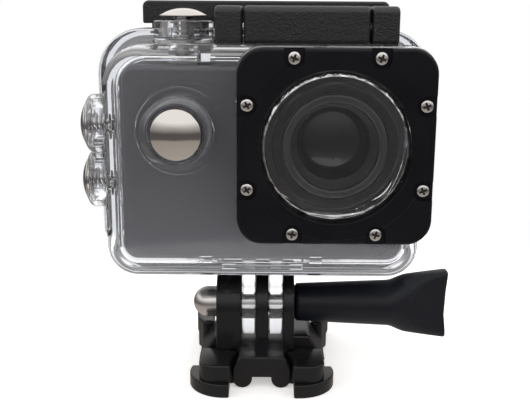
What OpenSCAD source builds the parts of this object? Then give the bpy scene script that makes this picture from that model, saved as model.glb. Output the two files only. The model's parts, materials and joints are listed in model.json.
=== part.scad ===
// Action camera in a clear waterproof case, on a quick-release buckle with a thumb screw.
// X runs to the right, Y to the back and Z up, with the lens looking along -Y.
// The origin is the centre of the buckle's underside. Everything above the buckle is placed from
// the tilt pivot, the axis of the thumb screw.

/* [Camera] */
// Width of the camera body
cam_w = 59.3; // [50:0.1:72]
// Height of the camera body
cam_h = 41.1; // [36:0.1:50]
// Thickness of the camera body without its lens
cam_t = 21; // [18:0.1:26]
// Radius of the camera body's upright corners
cam_r = 3; // [1:0.1:5]
// Wall of the camera's own covers
cam_wall = 1.6; // [1.2:0.1:2.2]
// Diameter of the lens barrel
barrel_d = 25.4; // [21:0.1:31]
// Reach of the lens barrel in front of the body
barrel_reach = 7.7; // [6:0.1:10]
// Distance of the lens axis from the body's right side
lens_side = 15.25; // [13:0.05:20]
// Distance of the lens axis below the body's top
lens_drop = 15.35; // [13:0.05:20]

/* [Case] */
// Wall of the clear case
wall = 2.5; // [2:0.1:3.2]
// Air between the camera and the case
cam_gap = 0.8; // [0.6:0.05:1.2]
// Air above the camera
top_gap = 2.05; // [1.5:0.05:3]
// Corner radius at the bottom of the case
case_r_low = 6.5; // [4:0.1:8]
// Corner radius at the top of the case
case_r_high = 9; // [6:0.1:11]
// How far the rear flange stands out at the sides
flange_side = 3.85; // [3:0.05:5]
// How far the rear flange stands out at the top
flange_top = 2.6; // [2:0.05:3.5]
// Thickness of the rear flange
flange_t = 3.5; // [2.5:0.1:5]
// Distance of the case's underside from the tilt pivot
case_lift = 10.25; // [9.6:0.05:13]

/* [Lens port] */
// Air between the barrel and the view opening
view_gap = 2.3; // [1.5:0.1:4]
// Width of the window's flange beyond the view opening
window_flange = 2; // [1.5:0.1:3]
// Thickness of the window
window_t = 2; // [1.5:0.1:3]
// Air between the barrel and the window
window_gap = 0.4; // [0.2:0.1:1]
// Margin of the bezel beyond the window's flange
bezel_margin = 2.5; // [2.3:0.1:4]
// Thickness of the bezel
bezel_t = 2.5; // [2:0.1:3.5]
// Distance between the two screws on one side of the bezel
screw_pitch = 16.8; // [12:0.1:20]
// Diameter of a bezel screw's head
screw_head_d = 2.5; // [2:0.1:3]

/* [Buttons] */
// Diameter of a plunger's cap
cap_d = 10.4; // [8:0.1:12.5]
// Height of the dome on a plunger's cap
cap_dome = 1.5; // [1:0.1:2]
// Diameter of a plunger's stem
stem_d = 3; // [2:0.1:3.6]
// Travel of a plunger
travel = 0.7; // [0.4:0.05:0.9]
// Travel of the camera's own button for each millimetre of plunger
follow = 0.4; // [0.2:0.05:0.6]
// Wire of the return spring
spring_wire = 0.45; // [0.3:0.05:0.6]
// Distance of the shutter and power buttons from the body's left side
button_side = 12.4; // [11:0.1:16]
// Distance of the power button below the body's top
power_drop = 13.15; // [12:0.05:18]
// Height of the upper side button above the body's middle
up_rise = 7.2; // [6:0.1:9]
// Depth of the lower side button below the body's middle
down_drop = 5.1; // [5:0.1:9]

/* [Latch] */
// Width of the latch lever's rear bar
latch_w = 55; // [46:0.5:60]
// Width of the link in the middle of the latch
link_w = 26; // [22:0.5:30]
// Diameter of the latch pins
latch_pin_d = 2; // [1.5:0.1:2.4]
// Reach of the link from its case pin to its knuckle pin
link_reach = 8; // [7:0.1:10]

/* [Mount] */
// Height of the tilt pivot above the buckle's underside
pivot_h = 15.5; // [15:0.1:19]
// Radius of the mounting prongs
prong_r = 7.5; // [6.3:0.1:8]
// Thickness of a case prong
prong_t = 3; // [2.5:0.1:3.6]
// Diameter of the thumb screw's bolt
bolt_d = 4.9; // [4:0.1:6]
// Reach of the knob beyond the prongs
knob_reach = 35.5; // [28:0.5:43]
// Height of the knob's wing
wing_h = 16.2; // [12:0.1:16.4]
// Width of the buckle over its release arms
buckle_w = 32; // [30:0.5:40]

/* [Hidden] */

$fn = 72;
over = 0.5;         // how far a part of a union reaches into its neighbour, or a cut past a face
fit = 0.05;         // radial clearance of a running fit
seat = 0.1;         // clearance between flat faces that slide
nudge = 0.3;        // clearance around a part that swings past another

// Camera body
cam_bottom = case_lift + wall + cam_gap;
cam_top = cam_bottom + cam_h;
cam_mid = cam_bottom + cam_h / 2;
cam_x = cam_w / 2;
cam_y = cam_t / 2;
front_cover_t = 5;
back_cover_t = 4.5;
lens_x = cam_x - lens_side;
lens_z = cam_top - lens_drop;

// Case
case_x = cam_x + cam_gap + wall;
case_front = -cam_y - cam_gap - wall;
case_top = cam_top + top_gap + wall;
part_y = cam_y - 3.5;
door_y = part_y + seat;
door_back = cam_y + cam_gap + wall;
flange_x = case_x + flange_side;
flange_z = case_top + flange_top;
flange_low = case_lift - 1.25;
flange_r_high = 10;
flange_r_low = 8;
rib_x = 12;
rib_w = 2.7;
gasket_w = 1.6;
gasket_r = (case_x - wall + flange_x) / 2 - gasket_w / 2;

// Lens port
view_r = barrel_d / 2 + view_gap;
seat_r = view_r + window_flange;
port_w = 2 * (seat_r + bezel_margin);
port_r = 5;
window_back = -cam_y - barrel_reach - window_gap;
window_front = window_back - window_t;
window_flange_t = 0.65 * window_t;
bezel_back = window_back + 0.1;
bezel_front = bezel_back - bezel_t;
seal_t = 0.8;
screw_edge = 2;
screw_far = port_w / 2 - screw_edge;
screw_near = screw_pitch / 2;
screw_hole_r = 0.8;
pocket_w = 4;
pocket_depth = 0.9;
head_t = 0.7;

// Plungers, measured outwards from the case's outer face
spring_floor = 0.9;
stem_r = stem_d / 2;
spring_r = stem_r + 0.35 + spring_wire / 2;
pocket_r = spring_r + spring_wire + 0.9;
cap_r = cap_d / 2;
cup_r = cap_r + nudge;
boss_d = cap_d + 2.4;
front_boss_d = boss_d + 2.2;
lift_out = travel + seat;
lift_in = -1;
cap_edge = 0.25;
seal_low = -0.7;
seal_high = 0.5;
seal_wire = 1.1;
clip_top = -1.25;
clip_t = 0.6;
clip_r = stem_r + 1.3;
clip_pocket_r = clip_r + 0.6;
button_proud = 0.35;
button_r = 3.5;
button_t = 2.35;
switch_gap = 0.1;
tip_gap = travel * (1 - follow);
boss_top = 4.4;
boss_side = 5.65;
boss_front = 5.3;
power_z = cam_top - power_drop;
// A wider cap moves its button clear of the parting line, and the two side buttons apart
cup_wall = 0.6;
button_y = min(0, part_y - boss_d / 2 - nudge);
spread = max(0, cup_r + (cup_wall - up_rise - down_drop) / 2);
up_z = cam_mid + up_rise + spread;
down_z = cam_mid - down_drop - spread;

// Latch, in the Y and Z of the tilt pivot
link_y = 2.5;
link_z = case_top + 3.6;
knuckle_y = link_y - link_reach;
knuckle_z = link_z - 0.6;
pin_r = latch_pin_d / 2;
lug_r = pin_r + 1.4;
lug_low = [0.3, 4.1];
lug_high = [12.8, 16.2];
latch_mid = 8.9;
link_from = latch_mid - link_w / 2;
link_to = latch_mid + link_w / 2;
lever_from = link_from - 6;
lever_to = link_to + 6;
// A wider cap moves the shutter and power buttons clear of the lever
shutter_x = min(-cam_x + button_side, lever_from - boss_d / 2 - nudge);
bar_to = lever_to;
bar_from = bar_to - latch_w;
block_front = knuckle_y - 3.5;
block_back = knuckle_y + 3.5;
block_top = knuckle_z + 4.5;
block_low = case_top + 0.7;
bar_front = 7.2;
lip_back = door_back + 0.5;
lip_top = flange_z + 0.5;
hook_t = 2.2;
hook_low = lip_top - 2;
bar_low = lip_top + 0.5;
bar_top = block_top + 1.1;
bar_back = lip_back + seat + hook_t;

// Door hinge, in the Y and Z of the tilt pivot
hinge_y = door_y + 2.9;
hinge_z = flange_low - 1.4;
hinge_r = 2.2;
hinge_pin_r = 1;
case_knuckle = [10.5, 13.8];
door_knuckle = [case_knuckle[1] + seat, case_knuckle[1] + 4.5];
door_inner_knuckle = [case_knuckle[0] - 4.3, case_knuckle[0] - seat];

// Mount
centre_t = 2.9;
outer_t = 2.55;
slot_w = prong_t + 2 * seat;
slot_in = centre_t / 2;
slot_out = slot_in + slot_w;
prong_out = slot_out + outer_t;
bolt_r = bolt_d / 2;
prong_bore = bolt_r + 0.08;
web_y = min(prong_r, part_y - 0.5);
nut_af = bolt_d + 3.1;
nut_boss_t = 3.1;
nut_dome_r = bolt_r + 1.05;
nut_dome_reach = 5.6;
floor_z = -prong_r - 1;
wing_from = knob_reach - 11.5;
wing_t = 6.4;
// Half of the wing's outline: distance from where it starts, and share of its half height
wing_edge = [[0, 0.6], [2, 0.76], [4.5, 0.92], [8, 0.98], [11, 1], [11.5, 0.95], [11, 0.4]];
buckle_low = -pivot_h;
buckle_deck = buckle_low + 2.5;
shoulder_in = prong_out + nut_boss_t + 0.3;
arm_x = buckle_w / 2;
arm_flange_t = 3;
shoulder_out = arm_x - 1.4;
shoulder_low = buckle_low + arm_flange_t + 0.2;
arm_head_top = floor_z - 0.2;
body_half = 6.4;
arm_hinge_x = body_half + 0.5;
arm_hinge_y = -9.5;
arm_hinge_r = 1.2;
arm_front = -18;
arm_root = -6.5;
head_r = 3.4;
arm_bar_t = 2.6;
arm_bar_x = arm_x - 1.8;
nose_top = 4.9;
ear_back = 20;
ear_h = 7.8;

// Helpers

// Extrudes an XZ outline from y0 to y1
module along_y(y0, y1) {
    translate([0, y1, 0]) rotate([90, 0, 0]) linear_extrude(y1 - y0) children();
}

// Extrudes a YZ outline from x0 to x1
module along_x(x0, x1) {
    translate([x0, 0, 0]) rotate([90, 0, 90]) linear_extrude(x1 - x0) children();
}

// A box between two corners
module box(low, high) {
    translate(low) cube(high - low);
}

// A round bar along X through (y, z)
module bar_x(x0, x1, y, z, r) {
    translate([x0, y, z]) rotate([0, 90, 0]) cylinder(h = x1 - x0, r = r);
}

// A rectangle with its own corner radius at the bottom and at the top
module rounded(x, low, high, r_low, r_high) {
    translate([-x, low + r_low]) square([2 * x, high - low - r_low - r_high]);
    translate([r_high - x, low + r_low]) square([2 * (x - r_high), high - low - r_low]);
    translate([r_low - x, low]) square([2 * (x - r_low), high - low - r_high]);
    for (side = [-1, 1]) {
        translate([side * (x - r_low), low + r_low]) circle(r_low);
        translate([side * (x - r_high), high - r_high]) circle(r_high);
    }
}

module camera_outline(inset = 0) {
    r = cam_r - inset / 2;
    rounded(cam_x - inset, cam_bottom + inset, cam_top - inset, r, r);
}

module case_outline() {
    rounded(case_x, case_lift, case_top, case_r_low, case_r_high);
}

module cavity_outline() {
    rounded(case_x - wall, case_lift + wall, case_top - wall, case_r_low - wall, case_r_high - wall);
}

module flange_outline() {
    rounded(flange_x, flange_low, flange_z, flange_r_low, flange_r_high);
}

module gasket_outline(inset) {
    x = gasket_r + gasket_w - inset;
    rounded(x, flange_low + 1.3 + inset, flange_z - 1.6 - inset, 6.5 - inset, 8 - inset);
}

module port_outline(inset = 0) {
    side = port_w / 2 - inset;
    translate([lens_x, lens_z]) rounded(side, -side, side, port_r - inset, port_r - inset);
}

// Everything measured from the tilt pivot
module on_pivot() {
    translate([0, 0, pivot_h]) children();
}

// Along the lens axis: local +Z points backwards from the given Y
module on_lens(y) {
    translate([lens_x, y, lens_z]) rotate([-90, 0, 0]) children();
}

// On the case's outer face at each button: local +Z points outwards
module at_shutter() {
    translate([shutter_x, button_y, case_top]) children();
}

module at_power() {
    translate([shutter_x, case_front, power_z]) rotate([90, 0, 0]) children();
}

module at_up() {
    translate([-case_x, button_y, up_z]) rotate([0, -90, 0]) children();
}

module at_down() {
    translate([-case_x, button_y, down_z]) rotate([0, -90, 0]) children();
}

// The eight bezel screws, seen along the lens axis
module at_screws(y) {
    for (turn = [0:90:270], side = [-1, 1])
        on_lens(y) rotate([0, 0, turn]) translate([screw_far, side * screw_near, 0]) children();
}

// The solid that a button adds to the case
module button_boss(d, h) {
    translate([0, 0, -over]) cylinder(h = h + over, d = d);
}

// What a button cuts out of the case. A cap with a lift below zero sits in a cup.
module button_cut(h, lift) {
    translate([0, 0, -wall - over]) cylinder(h = h + wall + 2 * over, r = stem_r + fit);
    translate([0, 0, spring_floor]) cylinder(h = h, r = pocket_r);
    translate([0, 0, seal_low]) cylinder(h = seal_high - seal_low, r = stem_r + seal_wire);
    translate([0, 0, -wall - top_gap]) cylinder(h = wall + top_gap + clip_top + fit, r = clip_pocket_r);
    if (lift < 0)
        translate([0, 0, h + lift - travel - nudge]) cylinder(h = travel + nudge - lift + over, r = cup_r);
}

// A domed chrome cap on a stem that reaches in to the camera's own button
module plunger(h, air, lift) {
    base = h + lift;
    tip = -wall - air + button_proud + tip_gap;
    edge = base + max(-lift, cap_edge);
    steps = 10;
    rotate_extrude() polygon(concat(
        [[0, tip], [stem_r, tip], [stem_r, base], [cap_r, base]],
        [for (i = [steps:-1:0]) [cap_r * i / steps, edge + cap_dome * (1 - pow(i / steps, 2))]]
    ));
}

// A coil of round wire between the pocket's floor and the cap
module spring(h, lift) {
    low = spring_floor + spring_wire / 2;
    high = h + lift - spring_wire / 2;
    turns = 4;
    per_turn = 18;
    sides = 6;
    rings = turns * per_turn;
    pts = [
        for (i = [0:rings], k = [0:sides - 1])
        let (
            a = 360 * i / per_turn,
            b = 360 * k / sides,
            flat = spring_r + spring_wire / 2 * cos(b),
            z = low + (high - low) * i / rings + spring_wire / 2 * sin(b)
        )
        [flat * cos(a), flat * sin(a), z]
    ];
    skin = [
        for (i = [0:rings - 1], k = [0:sides - 1])
        let (n = (k + 1) % sides)
        [i * sides + k, (i + 1) * sides + k, (i + 1) * sides + n, i * sides + n]
    ];
    first = [for (k = [0:sides - 1]) k];
    last = [for (k = [sides - 1:-1:0]) rings * sides + k];
    polyhedron(points = pts, faces = concat([first], skin, [last]), convexity = 8);
}

// The retaining ring on a stem's inner end
module clip() {
    translate([0, 0, clip_top - clip_t]) difference() {
        cylinder(h = clip_t, r = clip_r);
        translate([0, 0, -over]) cylinder(h = clip_t + 2 * over, r = stem_r);
        box([0, -stem_r * 0.6, -over], [clip_r + over, stem_r * 0.6, clip_t + over]);
    }
}

// The camera's own button under a plunger
module camera_button(air) {
    top = -wall - air + button_proud;
    translate([0, 0, top - button_t]) cylinder(h = button_t, r = button_r);
}

module button_switch(air) {
    top = -wall - air + button_proud - button_t - travel * follow - switch_gap;
    translate([0, 0, top - 0.8]) cylinder(h = 0.8, r = 1.4);
    box([-2.2, -2.2, top - 1.6], [2.2, 2.2, top - 0.8]);
}

// Buckle and thumb screw

module buckle_prong(x0, x1) {
    bar_x(x0, x1, 0, 0, prong_r);
    box([x0, -prong_r, floor_z - 0.1], [x1, prong_r, 0]);
}

module buckle_body() {
    nose = -13;
    tail = 14;
    wide = arm_bar_x - arm_bar_t - 1.6;
    color("#1c1c1f") on_pivot() difference() {
        union() {
            for (side = [-1, 1]) {
                buckle_prong(min(side * slot_out, side * prong_out), max(side * slot_out, side * prong_out));
                // feet under the nose, with an arch between them
                along_y(nose, -3) {
                    translate([side * 4.25, buckle_low + 2.15]) circle(2.15);
                    translate([side * 4.25 - 2.15, buckle_low + 2.15]) square([4.3, 2]);
                }
            }
            buckle_prong(-slot_in, slot_in);
            // the nose rises to the prongs
            along_x(-body_half, body_half) polygon([
                [nose, buckle_deck], [nose, floor_z + 0.1], [-prong_r, floor_z + 2.6],
                [0, floor_z + 2.6], [0, buckle_deck]
            ]);
            box([-wide, -5.8, buckle_deck - over], [wide, tail, floor_z]);
            box([-wide, -3.2, buckle_low], [wide, tail, buckle_deck]);
            buckle_prong(-prong_out - nut_boss_t, -prong_out + over);
            // shoulders over the release arms
            along_y(-5.8, 6.5) polygon([
                [-shoulder_out, shoulder_low], [-shoulder_in, floor_z + 2.5], [shoulder_in, floor_z + 2.5],
                [shoulder_out, shoulder_low]
            ]);
        }
        for (side = [-1, 1]) {
            x0 = side > 0 ? slot_in : -slot_out;
            box([x0, -20, floor_z], [x0 + slot_w, 20, prong_r + over]);
            translate([side * arm_hinge_x, arm_hinge_y, buckle_low - over])
                cylinder(h = pivot_h, r = arm_hinge_r + fit);
        }
        // bevelled corners on top of the nose
        for (side = [-1, 1])
            along_y(nose - over, -prong_r) polygon([
                [side * nose_top, floor_z + 3], [side * (body_half + over), floor_z + 3],
                [side * (body_half + over), floor_z - 2.2], [side * body_half, floor_z - 2.2],
                [side * nose_top, floor_z + 0.1]
            ]);
        bar_x(-prong_out - nut_boss_t - over, prong_out + over, 0, 0, prong_bore);
        // the pocket that holds the nut
        translate([-prong_out - nut_boss_t - over, 0, 0]) rotate([0, 90, 0])
            cylinder(h = nut_boss_t + over - seat, r = nut_af / 2 / cos(30), $fn = 6);
    }
}

// The right-hand arm; the left one is its mirror image
module release_arm() {
    color("#202024") on_pivot() difference() {
        union() {
            translate([0, 0, buckle_low]) linear_extrude(arm_flange_t) {
                intersection() {
                    translate([arm_x - 8, arm_front + 8]) circle(8);
                    translate([body_half + 0.6, arm_front]) square([arm_x, 10.4]);
                }
                translate([body_half + 0.6, arm_front + 7.5])
                    square([arm_bar_x - body_half - 0.6, arm_root - arm_front - 7.5]);
                translate([arm_bar_x - arm_bar_t, arm_front + 8]) square([arm_bar_t, 26]);
            }
            translate([0, 0, buckle_low + arm_flange_t - over])
                linear_extrude(arm_head_top - buckle_low - arm_flange_t + over) {
                    translate([arm_x - 2.3 - head_r, arm_front + 1.3 + head_r]) circle(head_r);
                    translate([body_half + 0.35, arm_front + 1.3])
                        square([arm_x - 2.3 - head_r - body_half - 0.35, arm_root - arm_front - 1.3]);
                    translate([body_half + 0.35, arm_front + 1.3 + head_r])
                        square([arm_x - 2.3 - body_half - 0.35, arm_root - arm_front - 1.3 - head_r]);
                }
            translate([arm_hinge_x, arm_hinge_y, buckle_low])
                cylinder(h = arm_head_top - buckle_low, r = arm_hinge_r);
            // the finger ear
            translate([0, 0, buckle_low]) linear_extrude(ear_h) polygon([
                [arm_bar_x - arm_bar_t, 7], [arm_bar_x, 7], [arm_x, 10.5], [arm_x + 1.2, ear_back],
                [arm_x - 1.9, ear_back], [arm_bar_x - arm_bar_t + 0.4, ear_back - 5]
            ]);
        }
        translate([arm_x + 12.6, 13.5, buckle_low - over]) cylinder(h = 9, r = 13.4);
    }
}

module release_arm_left() {
    mirror([1, 0, 0]) release_arm();
}

module release_arm_right() {
    release_arm();
}

module mount_nut() {
    x0 = -prong_out - nut_boss_t;
    color("#d8d8da") on_pivot() difference() {
        union() {
            translate([x0 - 0.2, 0, 0]) rotate([0, 90, 0])
                cylinder(h = nut_boss_t - seat + 0.2, r = (nut_af - 0.1) / 2 / cos(30), $fn = 6);
            bar_x(x0 - nut_dome_reach + nut_dome_r, x0, 0, 0, nut_dome_r);
            translate([x0 - nut_dome_reach + nut_dome_r, 0, 0]) sphere(nut_dome_r);
        }
        bar_x(x0 - nut_dome_reach + 1.6, -prong_out + over, 0, 0, bolt_r + fit);
    }
}

module thumb_screw_bolt() {
    color("#b9b9bd") on_pivot()
        bar_x(-prong_out - nut_boss_t - nut_dome_reach + 2, prong_out + 12, 0, 0, bolt_r);
}

module thumb_screw_knob() {
    x0 = prong_out + seat;
    wing = prong_out + wing_from;
    end = prong_out + knob_reach;
    color("#17181c") on_pivot() difference() {
        union() {
            translate([x0, 0, 0]) rotate([0, 90, 0]) cylinder(h = wing - x0 + 3, r1 = 4.35, r2 = 5.4);
            along_y(-wing_t / 2, wing_t / 2) polygon([
                for (side = [1, -1], p = side > 0 ? wing_edge
                    : [for (i = [len(wing_edge) - 1:-1:0]) wing_edge[i]])
                [wing + p[0], side * p[1] * wing_h / 2]
            ]);
        }
        // finger scallops on both faces
        for (side = [-1, 1])
            translate([(wing + end) / 2 + 2, side * 15.6, -10]) cylinder(h = 20, r = 14);
        bar_x(x0 - over, prong_out + 12, 0, 0, bolt_r);
    }
}

// Case

module case_prong(x0, x1) {
    bar_x(x0, x1, 0, 0, prong_r);
    box([x0, -web_y, 0], [x1, web_y, case_lift + over]);
}

module case_lug(span) {
    bar_x(span[0], span[1], link_y, link_z, lug_r);
    box([span[0], link_y - lug_r, case_top - over], [span[1], link_y + lug_r, link_z]);
}

module housing_front_shell() {
    inner_front = -cam_y - cam_gap;
    color([0.85, 0.9, 0.95, 0.35]) on_pivot() difference() {
        union() {
            difference() {
                union() {
                    along_y(case_front, part_y) case_outline();
                    along_y(part_y - flange_t, part_y) flange_outline();
                    along_y(bezel_back, inner_front - over) port_outline(-0.3);
                }
                along_y(inner_front, part_y + over) cavity_outline();
            }
            // ribs that hold the camera
            for (side = [-1, 1]) {
                x0 = side * rib_x - rib_w / 2;
                x1 = side * rib_x + rib_w / 2;
                y0 = -cam_y - cam_gap - over;
                box([x0, y0, case_lift + wall - over], [x1, 5, cam_bottom]);
                box([x0, y0, case_lift + wall], [x1, -cam_y, cam_bottom + 0.8]);
                box([x0, y0, cam_top], [x1, 5, case_top - wall + over]);
                box([x0, y0, cam_top - 0.8], [x1, -cam_y, case_top - wall]);
                for (z = [cam_bottom + 5, cam_top - 5])
                    box([min(side * cam_x, side * (case_x - 1)), -8, z - 0.6],
                        [max(side * cam_x, side * (case_x - 1)), 5, z + 0.6]);
                box([side * (cam_x - 4) - 0.6, y0, cam_bottom + 8],
                    [side * (cam_x - 4) + 0.6, -cam_y, cam_bottom + 12]);
            }
            at_shutter() button_boss(boss_d, boss_top);
            at_shutter() translate([0, 0, -wall - top_gap / 2]) cylinder(h = wall, d = boss_d - 1.5);
            at_up() button_boss(boss_d, boss_side);
            at_down() button_boss(boss_d, boss_side);
            at_power() button_boss(front_boss_d, boss_front);
            at_power() translate([0, 0, -over]) cylinder(h = over + 0.35, d = front_boss_d + 3);
            case_lug(lug_low);
            case_lug(lug_high);
            case_prong(slot_in + seat, slot_out - seat);
            case_prong(-slot_out + seat, -slot_in - seat);
            box([-9, -9.5, case_lift - 0.8], [9, web_y, case_lift + over]);
            // hinge knuckles under the door
            for (side = [-1, 1]) {
                x0 = side > 0 ? case_knuckle[0] : -case_knuckle[1];
                x1 = x0 + case_knuckle[1] - case_knuckle[0];
                bar_x(x0, x1, hinge_y, hinge_z, hinge_r);
                box([x0, part_y - 1.5, hinge_z - hinge_r], [x1, hinge_y, hinge_z + hinge_r]);
            }
        }
        // lens port
        on_lens(bezel_back - over) cylinder(h = inner_front - bezel_back + 2 * over, r = view_r);
        on_lens(bezel_back - over) cylinder(h = over + seal_t - 0.1, r = seat_r + seat);
        at_screws(bezel_back - over) cylinder(h = 4.5 + over, r = screw_hole_r);
        at_shutter() button_cut(boss_top, lift_out);
        at_up() button_cut(boss_side, lift_in);
        at_down() button_cut(boss_side, lift_in);
        at_power() button_cut(boss_front, lift_in);
        bar_x(lug_low[0] - over, lug_high[1] + over, link_y, link_z, pin_r);
        // room in the flange for the link's tongue
        bar_x(lug_low[1], lug_high[0], link_y, link_z, lug_r + 0.2 + nudge);
        bar_x(-slot_out - 1, slot_out + 1, 0, 0, prong_bore);
        bar_x(-case_knuckle[1] - 1, case_knuckle[1] + 1, hinge_y, hinge_z, hinge_pin_r);
    }
}

module lens_window() {
    rim = view_r - seat;
    color([0.9, 0.95, 1, 0.3]) on_pivot() on_lens(window_front) rotate_extrude() polygon([
        [0, 0], [rim - 1, 0], [rim, 0.5], [rim, window_t - window_flange_t],
        [seat_r, window_t - window_flange_t], [seat_r, window_t], [0, window_t]
    ]);
}

module window_seal() {
    color("#2b2b2b") on_pivot() on_lens(window_back) difference() {
        cylinder(h = seal_t, r = seat_r);
        translate([0, 0, -over]) cylinder(h = seal_t + 2 * over, r = view_r + 0.2);
    }
}

module port_bezel() {
    color("#121316") on_pivot() difference() {
        union() {
            along_y(bezel_front, bezel_front + 1) port_outline(0.4);
            along_y(bezel_front + 0.5, bezel_back) port_outline();
        }
        on_lens(bezel_front - over) cylinder(h = bezel_t + 2 * over, r = view_r);
        on_lens(window_back - window_flange_t) cylinder(h = window_flange_t + over, r = seat_r + seat);
        at_screws(bezel_front - over) {
            cylinder(h = bezel_t + 2 * over, r = screw_hole_r);
            cylinder(h = pocket_depth + over, d = pocket_w);
            box([0, -pocket_w / 2, 0], [screw_edge + over, pocket_w / 2, pocket_depth + over]);
        }
    }
}

module bezel_screws() {
    head = bezel_front + pocket_depth - head_t;
    color("#cfcfd2") on_pivot() at_screws(head) difference() {
        union() {
            cylinder(h = head_t, d = screw_head_d);
            cylinder(h = head_t + bezel_t - pocket_depth + 4, r = screw_hole_r);
        }
        for (turn = [0, 90])
            rotate([0, 0, turn + 20]) box([-0.75, -0.16, -over], [0.75, 0.16, 0.45]);
    }
}

module plunger_seal() {
    translate([0, 0, (seal_low + seal_high) / 2]) rotate_extrude()
        translate([stem_r + fit + seal_wire / 2 - 0.03, 0]) circle(seal_wire / 2 - 0.03, $fn = 24);
}

module plunger_seals() {
    color("#8c2f2a") on_pivot() {
        at_shutter() plunger_seal();
        at_power() plunger_seal();
        at_up() plunger_seal();
        at_down() plunger_seal();
    }
}

module latch_hinge_pin() {
    color("#c9c9cc") on_pivot() bar_x(lug_low[0], lug_high[1], link_y, link_z, pin_r);
}

module door_hinge_pin() {
    color("#c9c9cc") on_pivot()
        bar_x(-door_knuckle[1], door_knuckle[1], hinge_y, hinge_z, hinge_pin_r);
}

// Door

module back_door() {
    color([0.85, 0.9, 0.95, 0.35]) on_pivot() difference() {
        union() {
            along_y(door_y, door_back) flange_outline();
            // the lip that the latch hooks over
            box([-20, door_back - 1.3, flange_z - 2.5], [20, lip_back, lip_top]);
            // a raised frame around the screen
            along_y(door_back - over, door_back + 0.4) difference() {
                rounded(26, cam_bottom + 4, cam_top - 4, 4, 4);
                rounded(24.6, cam_bottom + 5.4, cam_top - 5.4, 3, 3);
            }
            for (side = [-1, 1], span = [door_knuckle, door_inner_knuckle]) {
                x0 = side > 0 ? span[0] : -span[1];
                bar_x(x0, x0 + span[1] - span[0], hinge_y, hinge_z, hinge_r);
            }
        }
        along_y(door_y - over, cam_y + cam_gap) cavity_outline();
        along_y(door_y - over, door_y + gasket_w) difference() {
            gasket_outline(0);
            gasket_outline(gasket_w);
        }
        // room for the case's knuckles
        for (side = [-1, 1]) {
            x0 = side > 0 ? case_knuckle[0] - seat : -case_knuckle[1] - seat;
            x1 = x0 + case_knuckle[1] - case_knuckle[0] + 2 * seat;
            box([x0, door_y - over, hinge_z - 4], [x1, door_back + over, hinge_z + hinge_r + nudge]);
        }
        bar_x(-door_knuckle[1] - 1, door_knuckle[1] + 1, hinge_y, hinge_z, hinge_pin_r + fit);
    }
}

module door_gasket() {
    color("#e8e8e8") on_pivot() along_y(door_y - fit, door_y + gasket_w) difference() {
        gasket_outline(0.02);
        gasket_outline(gasket_w - 0.02);
    }
}

// Latch

// The front block of the link or of the lever, seen from the side
module block_side() {
    translate([block_front + 1.5, block_low]) square([block_back - block_front - 3, block_top - block_low]);
    translate([block_front, block_low + 1.5]) square([block_back - block_front, block_top - block_low - 3]);
    for (y = [block_front + 1.5, block_back - 1.5], z = [block_low + 1.5, block_top - 1.5])
        translate([y, z]) circle(1.5);
}

module latch_arm() {
    color("#18181b") on_pivot() difference() {
        union() {
            along_x(link_from, link_to) block_side();
            along_x(lug_low[1] + seat, lug_high[0] - seat) {
                translate([link_y, link_z]) circle(lug_r + 0.2);
                translate([block_back - 1, link_z - lug_r]) square([link_y - block_back + 1, 2 * lug_r]);
            }
        }
        bar_x(link_from - over, link_to + over, knuckle_y, knuckle_z, pin_r);
        bar_x(lug_low[1], lug_high[0], link_y, link_z, pin_r + fit);
    }
}

module latch_knuckle_pin() {
    color("#c9c9cc") on_pivot() bar_x(lever_from + 1, lever_to - 1, knuckle_y, knuckle_z, pin_r);
}

module latch_lever() {
    color("#18181b") on_pivot() difference() {
        union() {
            for (x = [[lever_from, link_from - nudge], [link_to + nudge, lever_to]]) {
                along_x(x[0], x[1]) {
                    block_side();
                    translate([block_back - 1, block_top - 3.2])
                        square([bar_front - block_back + 2, 3.2]);
                }
            }
            along_x(bar_from, bar_to) {
                translate([bar_front, bar_low]) square([bar_back - bar_front - 1.5, bar_top - bar_low]);
                translate([bar_front, bar_low]) square([bar_back - bar_front, bar_top - bar_low - 1.5]);
                translate([bar_back - 1.5, bar_top - 1.5]) circle(1.5);
            }
            // the hook behind the door's lip
            along_x(bar_from + 1, bar_to - 1)
                translate([bar_back - hook_t, hook_low]) square([hook_t, bar_low - hook_low + over]);
        }
        bar_x(lever_from + 1, lever_to - 1, knuckle_y, knuckle_z, pin_r + fit);
    }
}

// Buttons of the case

module shutter_plunger() {
    color("#dadadc") on_pivot() at_shutter() plunger(boss_top, top_gap, lift_out);
}

module power_plunger() {
    color("#dadadc") on_pivot() at_power() plunger(boss_front, cam_gap, lift_in);
}

module up_plunger() {
    color("#dadadc") on_pivot() at_up() plunger(boss_side, cam_gap, lift_in);
}

module down_plunger() {
    color("#dadadc") on_pivot() at_down() plunger(boss_side, cam_gap, lift_in);
}

module shutter_spring() {
    color("#aaaaad") on_pivot() at_shutter() spring(boss_top, lift_out);
}

module power_spring() {
    color("#aaaaad") on_pivot() at_power() spring(boss_front, lift_in);
}

module up_spring() {
    color("#aaaaad") on_pivot() at_up() spring(boss_side, lift_in);
}

module down_spring() {
    color("#aaaaad") on_pivot() at_down() spring(boss_side, lift_in);
}

module shutter_clip() {
    color("#909094") on_pivot() at_shutter() clip();
}

module power_clip() {
    color("#909094") on_pivot() at_power() clip();
}

module up_clip() {
    color("#909094") on_pivot() at_up() clip();
}

module down_clip() {
    color("#909094") on_pivot() at_down() clip();
}

// Camera

module camera_front_cover() {
    color("#55565a") on_pivot() difference() {
        along_y(-cam_y, -cam_y + front_cover_t) camera_outline();
        along_y(-cam_y + cam_wall, -cam_y + front_cover_t + over) camera_outline(cam_wall);
        on_lens(-cam_y - over) cylinder(h = cam_wall + 2 * over, r = barrel_d / 2 - 2.5);
        at_power() translate([0, 0, -wall - cam_gap - cam_wall - over])
            cylinder(h = cam_wall + 2 * over, r = button_r + fit);
    }
}

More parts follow.
